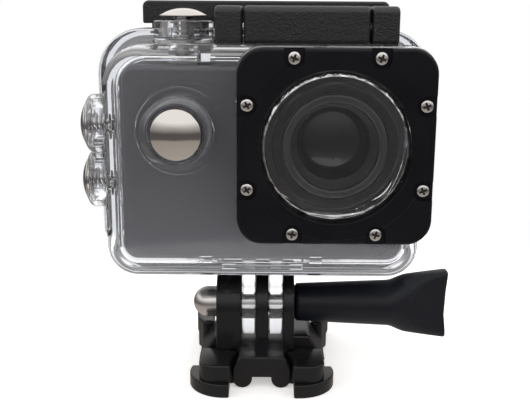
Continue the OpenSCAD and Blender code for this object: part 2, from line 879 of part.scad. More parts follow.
module camera_mid_frame() {
    y0 = -cam_y + front_cover_t;
    y1 = cam_y - back_cover_t;
    color("#2a2b2e") on_pivot() difference() {
        along_y(y0, y1) camera_outline();
        along_y(y0 - over, y1 + over) camera_outline(cam_wall);
        at_shutter() translate([0, 0, -wall - top_gap - cam_wall - over])
            cylinder(h = cam_wall + 2 * over, r = button_r + fit);
        at_up() translate([0, 0, -wall - cam_gap - cam_wall - over])
            cylinder(h = cam_wall + 2 * over, r = button_r + fit);
        at_down() translate([0, 0, -wall - cam_gap - cam_wall - over])
            cylinder(h = cam_wall + 2 * over, r = button_r + fit);
        // battery opening in the underside, and sockets in the right-hand side
        box([-24, y0 + 1.5, cam_bottom - over], [-3, y1 - 1.5, cam_bottom + cam_wall + over]);
        for (z = [cam_mid - 9, cam_mid + 1])
            box([cam_x - cam_wall - over, -2, z - seat], [cam_x + over, 2, z + 7.5 + seat]);
    }
}

module camera_back_cover() {
    color("#2a2b2e") on_pivot() difference() {
        along_y(cam_y - back_cover_t, cam_y) camera_outline();
        along_y(cam_y - back_cover_t - over, cam_y - 1.5) camera_outline(cam_wall);
        along_y(cam_y - 2, cam_y + over) rounded(21, cam_mid - 14.5, cam_mid + 14.5, 1.5, 1.5);
        for (x = [-25, 25])
            translate([x, cam_y - 2, cam_mid + 8]) rotate([-90, 0, 0]) cylinder(h = 3, r = 1);
        for (x = [-cam_x + 4.2, cam_x - 4.2], z = [cam_bottom + 4.2, cam_top - 4.2])
            translate([x, cam_y - 2, z]) rotate([-90, 0, 0]) cylinder(h = 3, r = 1.1);
    }
}

module display_glass() {
    color("#0c0d10") on_pivot() along_y(cam_y - 1.5, cam_y - 0.2)
        rounded(21 - fit, cam_mid - 14.5 + fit, cam_mid + 14.5 - fit, 1.5, 1.5);
}

module display_panel() {
    color("#15181d") on_pivot() box([-22, cam_y - 4, cam_mid - 15.5], [22, cam_y - 1.6, cam_mid + 15.5]);
}

module lens_barrel() {
    r = barrel_d / 2;
    color("#0e0f11") on_pivot() on_lens(-cam_y - barrel_reach) rotate_extrude() polygon([
        [r - 2.05, 0], [r - 0.4, 0], [r, 0.4], [r, barrel_reach], [r - 2.5, barrel_reach],
        [r - 2.5, barrel_reach + 10.5], [5, barrel_reach + 10.5], [5, barrel_reach + 2.2],
        [r - 6.3, barrel_reach + 2.2], [r - 6.3, 6.3], [r - 6.2, 5.2], [r - 4.05, 0.9],
        [r - 2.05, 0.9]
    ]);
}

module lens_trim_ring() {
    r = barrel_d / 2;
    color("#8b8d92") on_pivot() on_lens(-cam_y - barrel_reach) rotate_extrude() polygon([
        [r - 4.05, 0.9], [r - 4.05, 0.1], [r - 3.8, -0.1], [r - 2.3, -0.1], [r - 2.05, 0.1], [r - 2.05, 0.9]
    ]);
}

module lens_front_element() {
    r = barrel_d / 2 - 6.3;
    steps = 8;
    color("#1a2430") on_pivot() on_lens(-cam_y - barrel_reach) rotate_extrude() polygon(concat(
        [for (i = [0:steps]) [r * i / steps, 5.4 + 1.1 * pow(i / steps, 2)]],
        [for (i = [steps:-1:0]) [r * i / steps, 8.4 - 0.6 * (1 - pow(i / steps, 2))]]
    ));
}

module lens_baffle() {
    r = barrel_d / 2 - 6.3;
    color("#101113") on_pivot() on_lens(-cam_y - barrel_reach) difference() {
        translate([0, 0, 8.4]) cylinder(h = barrel_reach + 2.2 - 8.4, r = r);
        translate([0, 0, 8]) cylinder(h = barrel_reach, r = 4);
    }
}

module lens_rear_element() {
    color("#26323d") on_pivot() on_lens(-cam_y + 3) cylinder(h = 4, r = 5);
}

module image_sensor() {
    y = board_y() - 1.4;
    color("#2d3a35") on_pivot()
        box([lens_x - 5, y, lens_z - 5], [lens_x + 5, board_y(), lens_z + 5]);
}

// Front face of the main board
function board_y() = cam_y - back_cover_t - 2.6;

module main_board() {
    color("#1f5a3a") on_pivot()
        box([-cam_x + 4.6, board_y(), cam_bottom + 4.5], [cam_x - 4, board_y() + 1.2, cam_top - 5]);
}

module battery() {
    color("#3b5f8f") on_pivot()
        box([-23.4, -cam_y + front_cover_t + 1.8, cam_bottom + cam_wall + 0.4],
            [-3.4, board_y() - 0.4, cam_top - 9]);
}

module battery_door() {
    y0 = -cam_y + front_cover_t + 1.5;
    y1 = cam_y - back_cover_t - 1.5;
    color("#2f3033") on_pivot()
        box([-24 + seat, y0 + seat, cam_bottom], [-3 - seat, y1 - seat, cam_bottom + cam_wall]);
}

module speaker() {
    color("#3a3a3c") on_pivot() translate([shutter_x, -cam_y + cam_wall, cam_bottom + 10])
        rotate([-90, 0, 0]) cylinder(h = 3, r = 6);
}

module data_ports() {
    color("#b5b5b8") on_pivot() for (z = [cam_mid - 9, cam_mid + 1]) difference() {
        box([cam_x - 4.9, -2 + seat, z], [cam_x - 0.2, 2 - seat, z + 7.5]);
        box([cam_x - 4.2, -1.4, z + 0.6], [cam_x, 1.4, z + 6.9]);
    }
}

module memory_card() {
    y = board_y();
    color("#101114") on_pivot()
        box([lens_x - 5.5, y - 2.4, cam_bottom + 2.2], [lens_x + 5.5, y - 1.4, cam_bottom + 15]);
}

module camera_shutter_button() {
    color("#9a9b9f") on_pivot() at_shutter() camera_button(top_gap);
}

module camera_power_button() {
    color("#9a9b9f") on_pivot() at_power() camera_button(cam_gap);
}

module camera_up_button() {
    color("#9a9b9f") on_pivot() at_up() camera_button(cam_gap);
}

module camera_down_button() {
    color("#9a9b9f") on_pivot() at_down() camera_button(cam_gap);
}

module button_switches() {
    color("#6f6f73") on_pivot() {
        at_shutter() button_switch(top_gap);
        at_power() button_switch(cam_gap);
        at_up() button_switch(cam_gap);
        at_down() button_switch(cam_gap);
    }
}

module body_screws() {
    color("#a8a8ab") on_pivot() for (x = [-cam_x + 4.2, cam_x - 4.2], z = [cam_bottom + 4.2, cam_top - 4.2])
        translate([x, cam_y - 1.5, z]) rotate([-90, 0, 0]) difference() {
            cylinder(h = 1.3, r = 1.1);
            for (turn = [0, 90])
                rotate([0, 0, turn]) box([-0.7, -0.15, 0.9], [0.7, 0.15, 1.4]);
        }
}

module status_lights() {
    color("#3a6fd0") on_pivot() for (x = [-25, 25])
        translate([x, cam_y - 1.5, cam_mid + 8]) rotate([-90, 0, 0]) cylinder(h = 1.4, r = 1);
}

buckle_body();
release_arm_left();
release_arm_right();
mount_nut();
thumb_screw_bolt();
thumb_screw_knob();
housing_front_shell();
lens_window();
window_seal();
port_bezel();
bezel_screws();
plunger_seals();
latch_hinge_pin();
door_hinge_pin();
back_door();
door_gasket();
latch_arm();
latch_knuckle_pin();
latch_lever();
shutter_plunger();
power_plunger();
up_plunger();
down_plunger();
shutter_spring();
power_spring();
up_spring();
down_spring();
shutter_clip();
power_clip();
up_clip();
down_clip();
camera_front_cover();
camera_mid_frame();
camera_back_cover();
display_glass();
display_panel();
lens_barrel();
lens_trim_ring();
lens_front_element();
lens_baffle();
lens_rear_element();
image_sensor();
main_board();
battery();
battery_door();
speaker();
data_ports();
memory_card();
camera_shutter_button();
camera_power_button();
camera_up_button();
camera_down_button();
button_switches();
body_screws();
status_lights();
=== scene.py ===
"""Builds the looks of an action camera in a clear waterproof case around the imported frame."""

import json
import math

import bmesh
import bpy
import numpy as np
from bpy.props import FloatProperty, FloatVectorProperty, PointerProperty
from mathutils import Matrix, Vector

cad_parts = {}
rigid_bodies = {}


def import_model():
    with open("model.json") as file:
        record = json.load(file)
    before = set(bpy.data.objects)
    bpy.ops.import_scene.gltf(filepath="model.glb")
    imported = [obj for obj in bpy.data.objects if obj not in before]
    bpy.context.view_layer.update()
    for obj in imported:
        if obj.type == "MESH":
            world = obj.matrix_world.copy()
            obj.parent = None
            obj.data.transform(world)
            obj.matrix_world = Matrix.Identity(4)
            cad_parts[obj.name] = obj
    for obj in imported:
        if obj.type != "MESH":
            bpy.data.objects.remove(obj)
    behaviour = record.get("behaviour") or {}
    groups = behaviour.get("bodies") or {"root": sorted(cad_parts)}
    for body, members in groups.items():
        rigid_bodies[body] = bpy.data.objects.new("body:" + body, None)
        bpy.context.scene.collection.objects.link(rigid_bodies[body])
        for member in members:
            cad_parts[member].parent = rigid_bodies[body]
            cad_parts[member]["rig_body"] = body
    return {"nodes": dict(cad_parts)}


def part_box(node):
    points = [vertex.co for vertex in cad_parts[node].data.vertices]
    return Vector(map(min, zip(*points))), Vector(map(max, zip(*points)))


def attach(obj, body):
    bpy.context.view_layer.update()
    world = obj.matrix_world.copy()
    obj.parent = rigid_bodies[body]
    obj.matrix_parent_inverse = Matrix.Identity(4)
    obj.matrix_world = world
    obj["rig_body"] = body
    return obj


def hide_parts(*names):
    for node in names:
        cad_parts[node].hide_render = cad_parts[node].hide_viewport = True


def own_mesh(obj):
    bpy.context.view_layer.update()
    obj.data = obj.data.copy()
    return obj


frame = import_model()

bl_info = {
    "name": "Cased Action Camera",
    "version": (1, 0, 0),
    "blender": (4, 5, 0),
    "location": "3D View > Sidebar > Camera",
    "description": "Builds a clear-cased action camera on a quick-release buckle",
    "category": "Object",
}

MM = 0.001
ROUND = 72  # points round a full turn
CORNER = 9  # steps in a quarter-round edge


# Places, in millimetres, read from the frame


def span(node):
    """Lowest and highest corner of a node, in millimetres."""
    low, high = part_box(node)
    return np.array(low) / MM, np.array(high) / MM


def middle(node):
    """Centre of a node's box, in millimetres."""
    low, high = span(node)
    return (low + high) / 2


CAM_LOW, CAM_HIGH = span("camera_mid_frame")
CAM_FRONT = span("camera_front_cover")[0][1]
CAM_BACK = span("camera_back_cover")[1][1]
LENS = middle("lens_barrel")
BARREL_LOW, BARREL_HIGH = span("lens_barrel")
BEZEL_LOW, BEZEL_HIGH = span("port_bezel")
WINDOW_LOW, WINDOW_HIGH = span("lens_window")
DOOR_LOW, DOOR_HIGH = span("back_door")
PIVOT = middle("thumb_screw_bolt")
BOLT_LOW, BOLT_HIGH = span("thumb_screw_bolt")
LATCH_PIN_LOW, LATCH_PIN_HIGH = span("latch_hinge_pin")
LATCH_PIN = middle("latch_hinge_pin")
NUT_LOW, NUT_HIGH = span("mount_nut")
GASKET_LOW, GASKET_HIGH = span("door_gasket")
DOOR_PIN = middle("door_hinge_pin")
LENS_AXIS = np.array([LENS[0], 0, LENS[2]])
PIVOT_AXIS = np.array([0, PIVOT[1], PIVOT[2]])
LATCH_AXIS = np.array([0, LATCH_PIN[1], LATCH_PIN[2]])
DOOR_AXIS = np.array([0, DOOR_PIN[1], DOOR_PIN[2]])
BOLT_R = (BOLT_HIGH[2] - BOLT_LOW[2]) / 2
LATCH_PIN_R = (LATCH_PIN_HIGH[2] - LATCH_PIN_LOW[2]) / 2
BARREL_R = (BARREL_HIGH[0] - BARREL_LOW[0]) / 2
SEAT_R = (WINDOW_HIGH[0] - WINDOW_LOW[0]) / 2 + 0.1
NUT_R = (NUT_HIGH[2] - NUT_LOW[2]) / 2
X_WAY, Y_WAY, Z_WAY = (1, 0, 0), (0, 1, 0), (0, 0, 1)
PAST = 0.5  # how far a cut runs past a face
SCREW_HOLE_R = 0.8
HEAD_T = 0.7  # height of a screw's head
SEAL_SEAT = 0.7  # depth of the window seal's seat
RIB_PLACES = (-12.1, 11.4)
PRONG_IN = 1.55  # half the gap between the case's prongs
LUG_LEFT, LUG_RIGHT = 3.8, 3.4  # widths of the latch's lugs
BLOCK_TALL = 8.2  # height of the latch's blocks
BAR_FRONT, HOOK_T = 7.2, 2.2  # front of the lever's bar, and its hook's thickness
PRONG_EDGES = (1.45, 4.65, 7.2)  # the middle prong's face, then the outer prong's two
NUT_BOSS_T, DECK = 3.1, 2.5  # the nut's boss, and the height of the nose's underside
FOOT_X, FOOT_R, ARM_HINGE_Y = 4.25, 2.15, -9.5  # the nose's feet, and the arms' roots
KNUCKLE_R, KNUCKLE_W = 2.2, 3.3  # the door's hinge
CASE_KNUCKLES = (-13.8, 10.5)


# Sizes that a user would change


def length(label, text, value):
    """A length property in metres, given in millimetres."""
    return FloatProperty(
        name=label, description=text, default=value * MM, unit="LENGTH", precision=5
    )


def colour(label, text, value):
    """A colour property."""
    return FloatVectorProperty(
        name=label, description=text, default=value, size=3, subtype="COLOR", min=0, max=1
    )


class CaseSizes(bpy.types.PropertyGroup):
    """Sizes of the clear case."""

    wall: length("Wall", "Wall of the clear case", 2.5)
    gap: length("Gap", "Air between the camera and the case", 0.8)
    top_gap: length("Top gap", "Air above the camera", 2.05)
    r_low: length("Lower corner", "Corner radius at the bottom", 6.5)
    r_high: length("Upper corner", "Corner radius at the top", 9.0)
    edge: length("Front edge", "Rounding of the front edge", 2.4)
    flange_t: length("Flange", "Thickness of the rear flange", 3.5)
    flange_edge: length("Flange edge", "Rounding of the flange", 0.5)
    door_edge: length("Door edge", "Rounding of the door's back edge", 1.8)
    prong_r: length("Prong", "Radius of the case's two prongs", 7.5)
    prong_t: length("Prong thickness", "Thickness of one prong", 3.0)


class PortSizes(bpy.types.PropertyGroup):
    """Sizes of the lens port."""

    view_r: length("View radius", "Radius of the view opening", 15.0)
    corner: length("Corner", "Corner radius of the bezel", 5.0)
    edge: length("Edge", "Rounding of the bezel's front edge", 0.7)
    pocket: length("Pocket", "Width of a screw's pocket", 4.0)
    pocket_depth: length("Pocket depth", "Depth of a screw's pocket", 0.9)
    pitch: length("Pitch", "Distance between the two screws on a side", 16.8)
    inboard: length("Inboard", "Distance of a screw from the bezel's edge", 2.0)
    head: length("Head", "Diameter of a screw's head", 2.5)


class ButtonSizes(bpy.types.PropertyGroup):
    """Sizes of the case's buttons."""

    boss_r: length("Boss", "Radius of a boss on the case", 6.4)
    front_boss_r: length("Front boss", "Radius of the boss in front", 7.5)
    stem_r: length("Stem", "Radius of a plunger's stem", 1.5)
    wire: length("Wire", "Wire of the return spring", 0.45)
    turns: FloatProperty(name="Turns", description="Turns of a spring", default=4.0)


class BuckleSizes(bpy.types.PropertyGroup):
    """Sizes of the buckle."""

    half: length("Nose", "Half width of the nose", 6.4)
    nose_top: length("Nose top", "Half width of the nose's flat top", 4.9)
    deck: length("Deck", "Half width of the deck", 10.0)
    shoulder: length("Shoulder", "Half width of the shoulders at their foot", 14.6)


class Finishes(bpy.types.PropertyGroup):
    """Colours of the finishes."""

    clear: colour("Clear", "Clear case", (0.95, 0.962, 0.99))
    black: colour("Black", "Moulded black plastic", (0.0075, 0.0075, 0.0085))
    knob: colour("Knob", "Thumb screw knob", (0.0065, 0.0075, 0.0115))
    bezel: colour("Bezel", "Bezel round the lens", (0.0045, 0.0045, 0.0065))
    panel: colour("Panel", "Metallic paint of the camera", (0.118, 0.111, 0.124))
    chrome: colour("Chrome", "Bright plating", (0.66, 0.63, 0.60))


class StudioSizes(bpy.types.PropertyGroup):
    """The stage, the lights and the camera."""

    floor: length("Floor", "Radius of the floor", 130)
    key: FloatProperty(name="Key", description="Strength of the overhead light", default=1.15)
    side: FloatProperty(name="Side", description="Power of each side light", default=1.2)
    focal: FloatProperty(name="Focal length", description="Lens of the camera, mm", default=55.27)


def mm(value):
    """A property's metres as millimetres."""
    return value / MM


# Shapes as arrays of points, in millimetres


def arc(centre, radius, start, stop, steps=CORNER):
    """Points on a circle: centre + radius (cos a, sin a), with a from start to stop degrees."""
    a = np.radians(np.linspace(start, stop, steps + 1))
    return np.stack([centre[0] + radius * np.cos(a), centre[1] + radius * np.sin(a)], 1)


def rounded(x0, x1, z0, z1, r_low, r_high, inset=0.0):
    """A rectangle with an arc at each corner, moved inwards by inset, and its radii with it."""
    low, high = max(r_low - inset, 0.05), max(r_high - inset, 0.05)
    x0, x1, z0, z1 = x0 + inset, x1 - inset, z0 + inset, z1 - inset
    return np.concatenate([
        arc((x1 - low, z0 + low), low, -90, 0),
        arc((x1 - high, z1 - high), high, 0, 90),
        arc((x0 + high, z1 - high), high, 90, 180),
        arc((x0 + low, z0 + low), low, 180, 270),
    ])


def edge_steps(y, radius, inward):
    """A quarter-round edge as (place, inset) pairs.

    inset = r(1 - sin a), place = y + r(1 - cos a).
    """
    a = np.radians(np.linspace(0, 90, CORNER))
    return list(zip(y + inward * radius * (1 - np.cos(a)), radius * (1 - np.sin(a))))


def lifted(outline, y, inset):
    """A ring: the XZ outline at an inset, set at y."""
    ring = outline(inset)
    return np.stack([ring[:, 0], np.full(len(ring), y), ring[:, 1]], 1)


def slab(outline, y0, y1, front=0.0, back=0.0):
    """Rings of an XZ outline from y0 to y1, with a quarter-round edge at either end."""
    steps = edge_steps(y0, front, 1) if front else [(y0, 0.0)]
    steps += edge_steps(y1, back, -1)[::-1] if back else [(y1, 0.0)]
    return np.array([lifted(outline, y, inset) for y, inset in steps])


def slab_x(outline, x0, x1, edge=0.0):
    """Rings of a YZ outline from x0 to x1, with quarter-round edges."""
    return slab(outline, x0, x1, edge, edge)[:, :, [1, 0, 2]]


def hanging(y, z, radius, half, top, inset=0.0):
    """A disc about (y, z) that goes on, half each way, to top: an arc with two upright sides."""
    r, w = radius - inset, min(half, radius) - inset
    lean = math.degrees(math.acos(min(w / r, 1.0)))
    a = np.radians(np.linspace(180 - lean, 360 + lean, ROUND // 2))
    way = 1 if top > z else -1
    body = np.stack([y + r * np.cos(a), z + way * r * np.sin(a)], 1)
    return np.concatenate([[[y - w, top]], body, [[y + w, top]]])


def turned(profile, origin, axis, points=ROUND):
    """A profile of (radius, height) turned about axis from origin: closed rings of points."""
    profile = np.array(profile, float)
    axis = np.array(axis, float)
    side = np.cross(axis, (0, 0, 1) if abs(axis[2]) < 0.9 else (0, 1, 0))
    side /= np.linalg.norm(side)
    other = np.cross(axis, side)
    a = np.linspace(0, 2 * np.pi, points, endpoint=False)
    circle = np.cos(a)[:, None] * side + np.sin(a)[:, None] * other
    return origin + profile[:, 0, None, None] * circle + profile[:, 1, None, None] * axis


def rod(radius, start, stop, origin, axis, points=ROUND):
    """A plain round rod from start to stop along axis."""
    return turned([(radius, start), (radius, stop)], origin, axis, points)


def box_rings(low, high):
    """A plain box as two rings."""
    (x0, y0, z0), (x1, y1, z1) = low, high
    base = np.array([[x0, y0, z0], [x1, y0, z0], [x1, y0, z1], [x0, y0, z1]], float)
    return np.array([base, base + [0, y1 - y0, 0]])


def mesh_of(name, rings, loop=False):
    """Skins rings of points into a closed solid: quads between rings, and a face at each end.

    With loop, the last ring joins the first and there are no ends."""
    count, around = rings.shape[:2]
    index = np.arange(count * around).reshape(count, around)
    near = index if loop else index[:-1]
    far = np.roll(index, -1, 0) if loop else index[1:]
    quads = np.stack([near, np.roll(near, -1, 1), np.roll(far, -1, 1), far], -1).reshape(-1, 4)
    faces = quads.tolist()
    if not loop:
        faces += [index[0][::-1].tolist(), index[-1].tolist()]
    mesh = bpy.data.meshes.new(name)
    mesh.from_pydata((rings.reshape(-1, 3) * MM).tolist(), [], faces)
    made = bmesh.new()
    made.from_mesh(mesh)
    bmesh.ops.remove_doubles(made, verts=made.verts, dist=1e-7)
    bmesh.ops.recalc_face_normals(made, faces=made.faces)
    made.to_mesh(mesh)
    made.free()
    piece = bpy.data.objects.new(name, mesh)
    bpy.context.collection.objects.link(piece)
    return piece


def shaped(piece, tools, operation):
    """Joins each tool's solid to the piece, or cuts it away, and removes the tools."""
    for tool in tools:
        step = piece.modifiers.new("shape", "BOOLEAN")
        step.object, step.operation, step.solver = tool, operation, "EXACT"
    bpy.context.view_layer.update()
    seen = piece.evaluated_get(bpy.context.evaluated_depsgraph_get())
    mesh = bpy.data.meshes.new_from_object(seen)
    piece.modifiers.clear()
    piece.data = mesh
    for tool in tools:
        bpy.data.objects.remove(tool)
    return piece


def solid(shape):
    """A shape as an object: rings of points are skinned, and an object is passed on."""
    return shape if isinstance(shape, bpy.types.Object) else mesh_of("tool", shape)


def joined(piece, *tools):
    """The piece with every tool's solid added."""
    return shaped(solid(piece), [solid(t) for t in tools], "UNION")


def cut(piece, *tools):
    """The piece with every tool's solid taken away."""
    return shaped(solid(piece), [solid(t) for t in tools], "DIFFERENCE")


def edged(piece, width, angle=50):
    """Rounds a piece's sharp edges with a live bevel."""
    bevel = piece.modifiers.new("edges", "BEVEL")
    bevel.width, bevel.segments = width * MM, 3
    bevel.limit_method, bevel.angle_limit = "ANGLE", math.radians(angle)
    return piece


def block(outline, axis, start, stop, edge=0.0):
    """A closed outline carried from start to stop along an axis, its sharp edges rounded.

    The outline's two columns are the other two axes, in the order x, y, z."""
    outline = np.array(outline, float)
    rings = []
    for place in (start, stop):
        columns = [outline[:, 0], outline[:, 1]]
        columns.insert("xyz".index(axis), np.full(len(outline), float(place)))
        rings.append(np.stack(columns, 1))
    piece = mesh_of("tool", np.array(rings))
    return edged(piece, edge) if edge else piece


def mirrored(outline):
    """An outline reflected across x = 0."""
    return np.array(outline, float) * [-1, 1]


def softened(node, width):
    """A merged copy of a CAD node, with its sharp edges rounded by a bevel."""
    source = frame["nodes"][node]
    made = bmesh.new()
    made.from_mesh(source.data)
    bmesh.ops.remove_doubles(made, verts=made.verts, dist=2e-6)
    bmesh.ops.dissolve_limit(
        made, angle_limit=math.radians(1), verts=made.verts, edges=made.edges
    )
    mesh = bpy.data.meshes.new(node + "_look")
    made.to_mesh(mesh)
    made.free()
    mesh.materials.clear()
    piece = bpy.data.objects.new(node + "_look", mesh)
    bpy.context.collection.objects.link(piece)
    return edged(piece, width, angle=32) if width else piece


def placed(piece, body, slot, material, *nodes, sharp=35):
    """Gives a piece its finish, its body and the nodes that it stands for."""
    piece.data.materials.clear()
    piece.data.materials.append(material)
    piece.data.polygons.foreach_set("use_smooth", np.ones(len(piece.data.polygons), bool))
    piece.data.set_sharp_from_angle(angle=math.radians(sharp))
    even = piece.modifiers.new("even", "WEIGHTED_NORMAL")
    even.keep_sharp = True
    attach(piece, body)
    if nodes:
        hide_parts(*nodes)
    return piece


# Finishes


def new_material(name):
    """An empty material with its shader, its node tree and Object coordinates."""
    material = bpy.data.materials.new(name)
    material.use_nodes = True
    tree = material.node_tree
    shader = tree.nodes["Principled BSDF"]
    return material, tree, shader, tree.nodes.new("ShaderNodeTexCoord").outputs["Object"]


def noise(tree, coords, scale, detail=4.0, kind="ShaderNodeTexNoise"):
    """A noise or Voronoi pattern; scale is how many features there are to a metre."""
    node = tree.nodes.new(kind)
    node.inputs["Scale"].default_value = scale
    if "Detail" in node.inputs:
        node.inputs["Detail"].default_value = detail
    tree.links.new(coords, node.inputs["Vector"])
    return node.outputs["Fac"] if "Fac" in node.outputs else node.outputs["Distance"]


def spread(tree, value, low, high):
    """A pattern's 0.3 to 0.7 as low to high."""
    node = tree.nodes.new("ShaderNodeMapRange")
    node.inputs["From Min"].default_value = 0.3
    node.inputs["From Max"].default_value = 0.7
    node.inputs["To Min"].default_value = low
    node.inputs["To Max"].default_value = high
    tree.links.new(value, node.inputs["Value"])
    return node.outputs["Result"]


def between(tree, value, first, second):
    """A pattern as a colour between two."""
    node = tree.nodes.new("ShaderNodeMix")
    node.data_type = "RGBA"
    node.inputs["A"].default_value = (*first, 1)
    node.inputs["B"].default_value = (*second, 1)
    tree.links.new(spread(tree, value, 0, 1), node.inputs["Factor"])
    return node.outputs["Result"]


def bumped(tree, shader, value, strength, depth):
    """A pattern as relief, depth millimetres deep."""
    node = tree.nodes.new("ShaderNodeBump")
    node.inputs["Strength"].default_value = strength
    node.inputs["Distance"].default_value = depth * MM
    tree.links.new(value, node.inputs["Height"])
    tree.links.new(node.outputs["Normal"], shader.inputs["Normal"])


def solid_finish(name, tint, rough, metal=0.0, vary=0.12, grain=900.0, depth=0.02,
                 relief=0.3, cells=False, coat=0.0, speckle=0.0, shine=0.5):
    """A moulded, painted or metal surface: tint and roughness drift, and fine grain."""
    material, tree, shader, coords = new_material(name)
    drift = noise(tree, coords, 90.0, 5.0)
    fine = noise(tree, coords, grain, 6.0)
    source = fine if speckle else drift
    share = speckle or vary
    darker = tuple(c * (1 - share) for c in tint)
    lighter = tuple(min(c * (1 + share), 1) for c in tint)
    tree.links.new(between(tree, source, darker, lighter), shader.inputs["Base Color"])
    tree.links.new(spread(tree, drift, rough * 0.85, rough * 1.15), shader.inputs["Roughness"])
    shader.inputs["Metallic"].default_value = metal
    shader.inputs["Coat Weight"].default_value = coat
    shader.inputs["Specular IOR Level"].default_value = shine
    if relief:
        height = noise(tree, coords, grain, kind="ShaderNodeTexVoronoi") if cells else fine
        bumped(tree, shader, height, relief, depth)
    return material


def clear_finish(name, tint, index=1.585, rough=0.03, haze=0.07, waves=0.1, clear=0.97):
    """Clear plastic or glass with faint moulding waves and a trace of haze."""
    material, tree, shader, coords = new_material(name)
    shader.inputs["Transmission Weight"].default_value = clear
    shader.inputs["IOR"].default_value = index
    wave = noise(tree, coords, 45.0, 2.0)
    paler = tuple(min(c * 1.012, 1) for c in tint)
    tree.links.new(between(tree, wave, tint, paler), shader.inputs["Base Color"])
    haze = spread(tree, noise(tree, coords, 400.0), rough, haze)
    tree.links.new(haze, shader.inputs["Roughness"])
    if waves:
        bumped(tree, shader, wave, waves, 0.05)
    return material


def coated_glass(name):
    """Dark coated glass: a black depth with a faint blue drift under a clear coat."""
    material, tree, shader, coords = new_material(name)
    drift = noise(tree, coords, 120.0, 2.0)
    tint = between(tree, drift, (0.006, 0.006, 0.007), (0.010, 0.012, 0.018))
    tree.links.new(tint, shader.inputs["Base Color"])
    shine = noise(tree, coords, 60.0, 2.0)
    tree.links.new(spread(tree, shine, 0.08, 0.12), shader.inputs["Roughness"])
    shader.inputs["Coat Weight"].default_value = 0.1
    shader.inputs["Coat Roughness"].default_value = 0.04
    shader.inputs["IOR"].default_value = 1.45
    return material


# Name: tint or the name of a colour property, roughness, and the rest of solid_finish
SOLIDS = {
    "window_rim": (
        (0.60, 0.61, 0.63), 0.2,
        dict(metal=1.0, grain=520, depth=0.12, relief=0.9, cells=True, speckle=0.75),
    ),
    "satin_black": ("black", 0.25, dict(grain=2600, depth=0.012, shine=0.35)),
    "grained_black": (
        "black", 0.36, dict(grain=2200, depth=0.09, relief=0.8, cells=True, shine=0.6)
    ),
    "knob_black": ("knob", 0.42, dict(grain=3200, depth=0.02, shine=0.27)),
    "bezel_black": ("bezel", 0.30, dict(grain=4200, depth=0.005, shine=0.2)),
    "panel_metallic": (
        "panel", 0.42, dict(metal=0.55, grain=5200, depth=0.006, relief=0.25, speckle=0.16)
    ),
    "camera_black": ((0.028, 0.028, 0.031), 0.5, dict(grain=3600)),
    "chrome": ("chrome", 0.09, dict(metal=1.0, vary=0.03, grain=700, relief=0)),
    "steel": (
        (0.66, 0.64, 0.63), 0.24, dict(metal=1.0, vary=0.1, grain=1500, depth=0.004, relief=0.2)
    ),
    # dark finish for the bottom of a screw's cross: painted shade where the groove lies in shadow
    "steel_recess": ((0.03, 0.028, 0.027), 0.6, dict(metal=0.4, grain=1500)),
    "spring_steel": ((0.5, 0.5, 0.52), 0.25, dict(metal=1.0, grain=3000)),
    "seal_rubber": ((0.035, 0.035, 0.036), 0.7, dict(grain=3000)),
    "silicone": ((0.72, 0.72, 0.72), 0.5, dict(grain=1400)),
    "button_grey": ((0.30, 0.30, 0.31), 0.3, dict(grain=2000, coat=0.2)),
    "lens_black": ((0.008, 0.008, 0.009), 0.4, dict(grain=900, relief=0, shine=0.35)),
    "trim_grey": ((0.055, 0.055, 0.06), 0.34, dict(metal=0.5, grain=900, relief=0)),
    "display_black": ((0.010, 0.010, 0.013), 0.08, dict(grain=300, relief=0)),
    "sensor": ((0.05, 0.07, 0.06), 0.2, dict(grain=6000)),
    "board_green": ((0.02, 0.12, 0.05), 0.35, dict(grain=1500, coat=0.3)),
    "battery_wrap": ((0.10, 0.16, 0.30), 0.35, {}),
    "speaker_black": ((0.04, 0.04, 0.042), 0.6, dict(grain=2500)),
    "port_steel": ((0.5, 0.5, 0.52), 0.3, dict(metal=1.0, grain=2500)),
    "status_led": ((0.1, 0.2, 0.6), 0.15, dict(coat=0.5)),
}
_finishes = {}


def finish_of(name):
    """The finish with that name, made once."""
    if name not in _finishes:
        tones = bpy.context.scene.camera_finishes
        if name == "clear_plastic":
            made = clear_finish(name, tuple(tones.clear))
        elif name == "window_glass":
            made = clear_finish(name, (0.97, 0.985, 0.985), 1.52, 0.0, 0.0, 0.0, 0.995)
        elif name == "lens_glass":
            made = coated_glass(name)
        else:
            tint, rough, rest = SOLIDS[name]
            tint = tuple(getattr(tones, tint)) if isinstance(tint, str) else tint
            made = solid_finish(name, tint, rough, **rest)
        _finishes[name] = made
    return _finishes[name]


# The case's outlines, each as a function of its inset


def case_outline(case):
    """The case's outer outline, around the camera's box."""
    off = mm(case.gap) + mm(case.wall)
    top = mm(case.top_gap) + mm(case.wall)
    return lambda inset: rounded(
        CAM_LOW[0] - off, CAM_HIGH[0] + off, CAM_LOW[2] - off, CAM_HIGH[2] + top,
        mm(case.r_low), mm(case.r_high), inset,
    )


def cavity_outline(case):
    """The outline of the hollow that holds the camera."""
    gap, wall = mm(case.gap), mm(case.wall)
    return lambda inset: rounded(
        CAM_LOW[0] - gap, CAM_HIGH[0] + gap, CAM_LOW[2] - gap, CAM_HIGH[2] + mm(case.top_gap),
        mm(case.r_low) - wall, mm(case.r_high) - wall, inset,
    )


def flange_outline(inset):
    """The outline of the flange and of the door."""
    return rounded(
        DOOR_LOW[0], DOOR_HIGH[0], GASKET_LOW[2] - 1.32, GASKET_HIGH[2] + 1.62, 8.0, 10.0, inset
    )


def port_outline(corner, grow=0.0):
    """The bezel's outline, larger all round by grow."""
    return lambda inset: rounded(
        BEZEL_LOW[0], BEZEL_HIGH[0], BEZEL_LOW[2], BEZEL_HIGH[2], corner, corner, inset - grow
    )


SIDES = {"up": (-1, 0, 0), "down": (-1, 0, 0), "power": (0, -1, 0), "shutter": (0, 0, 1)}


# Making each group of pieces


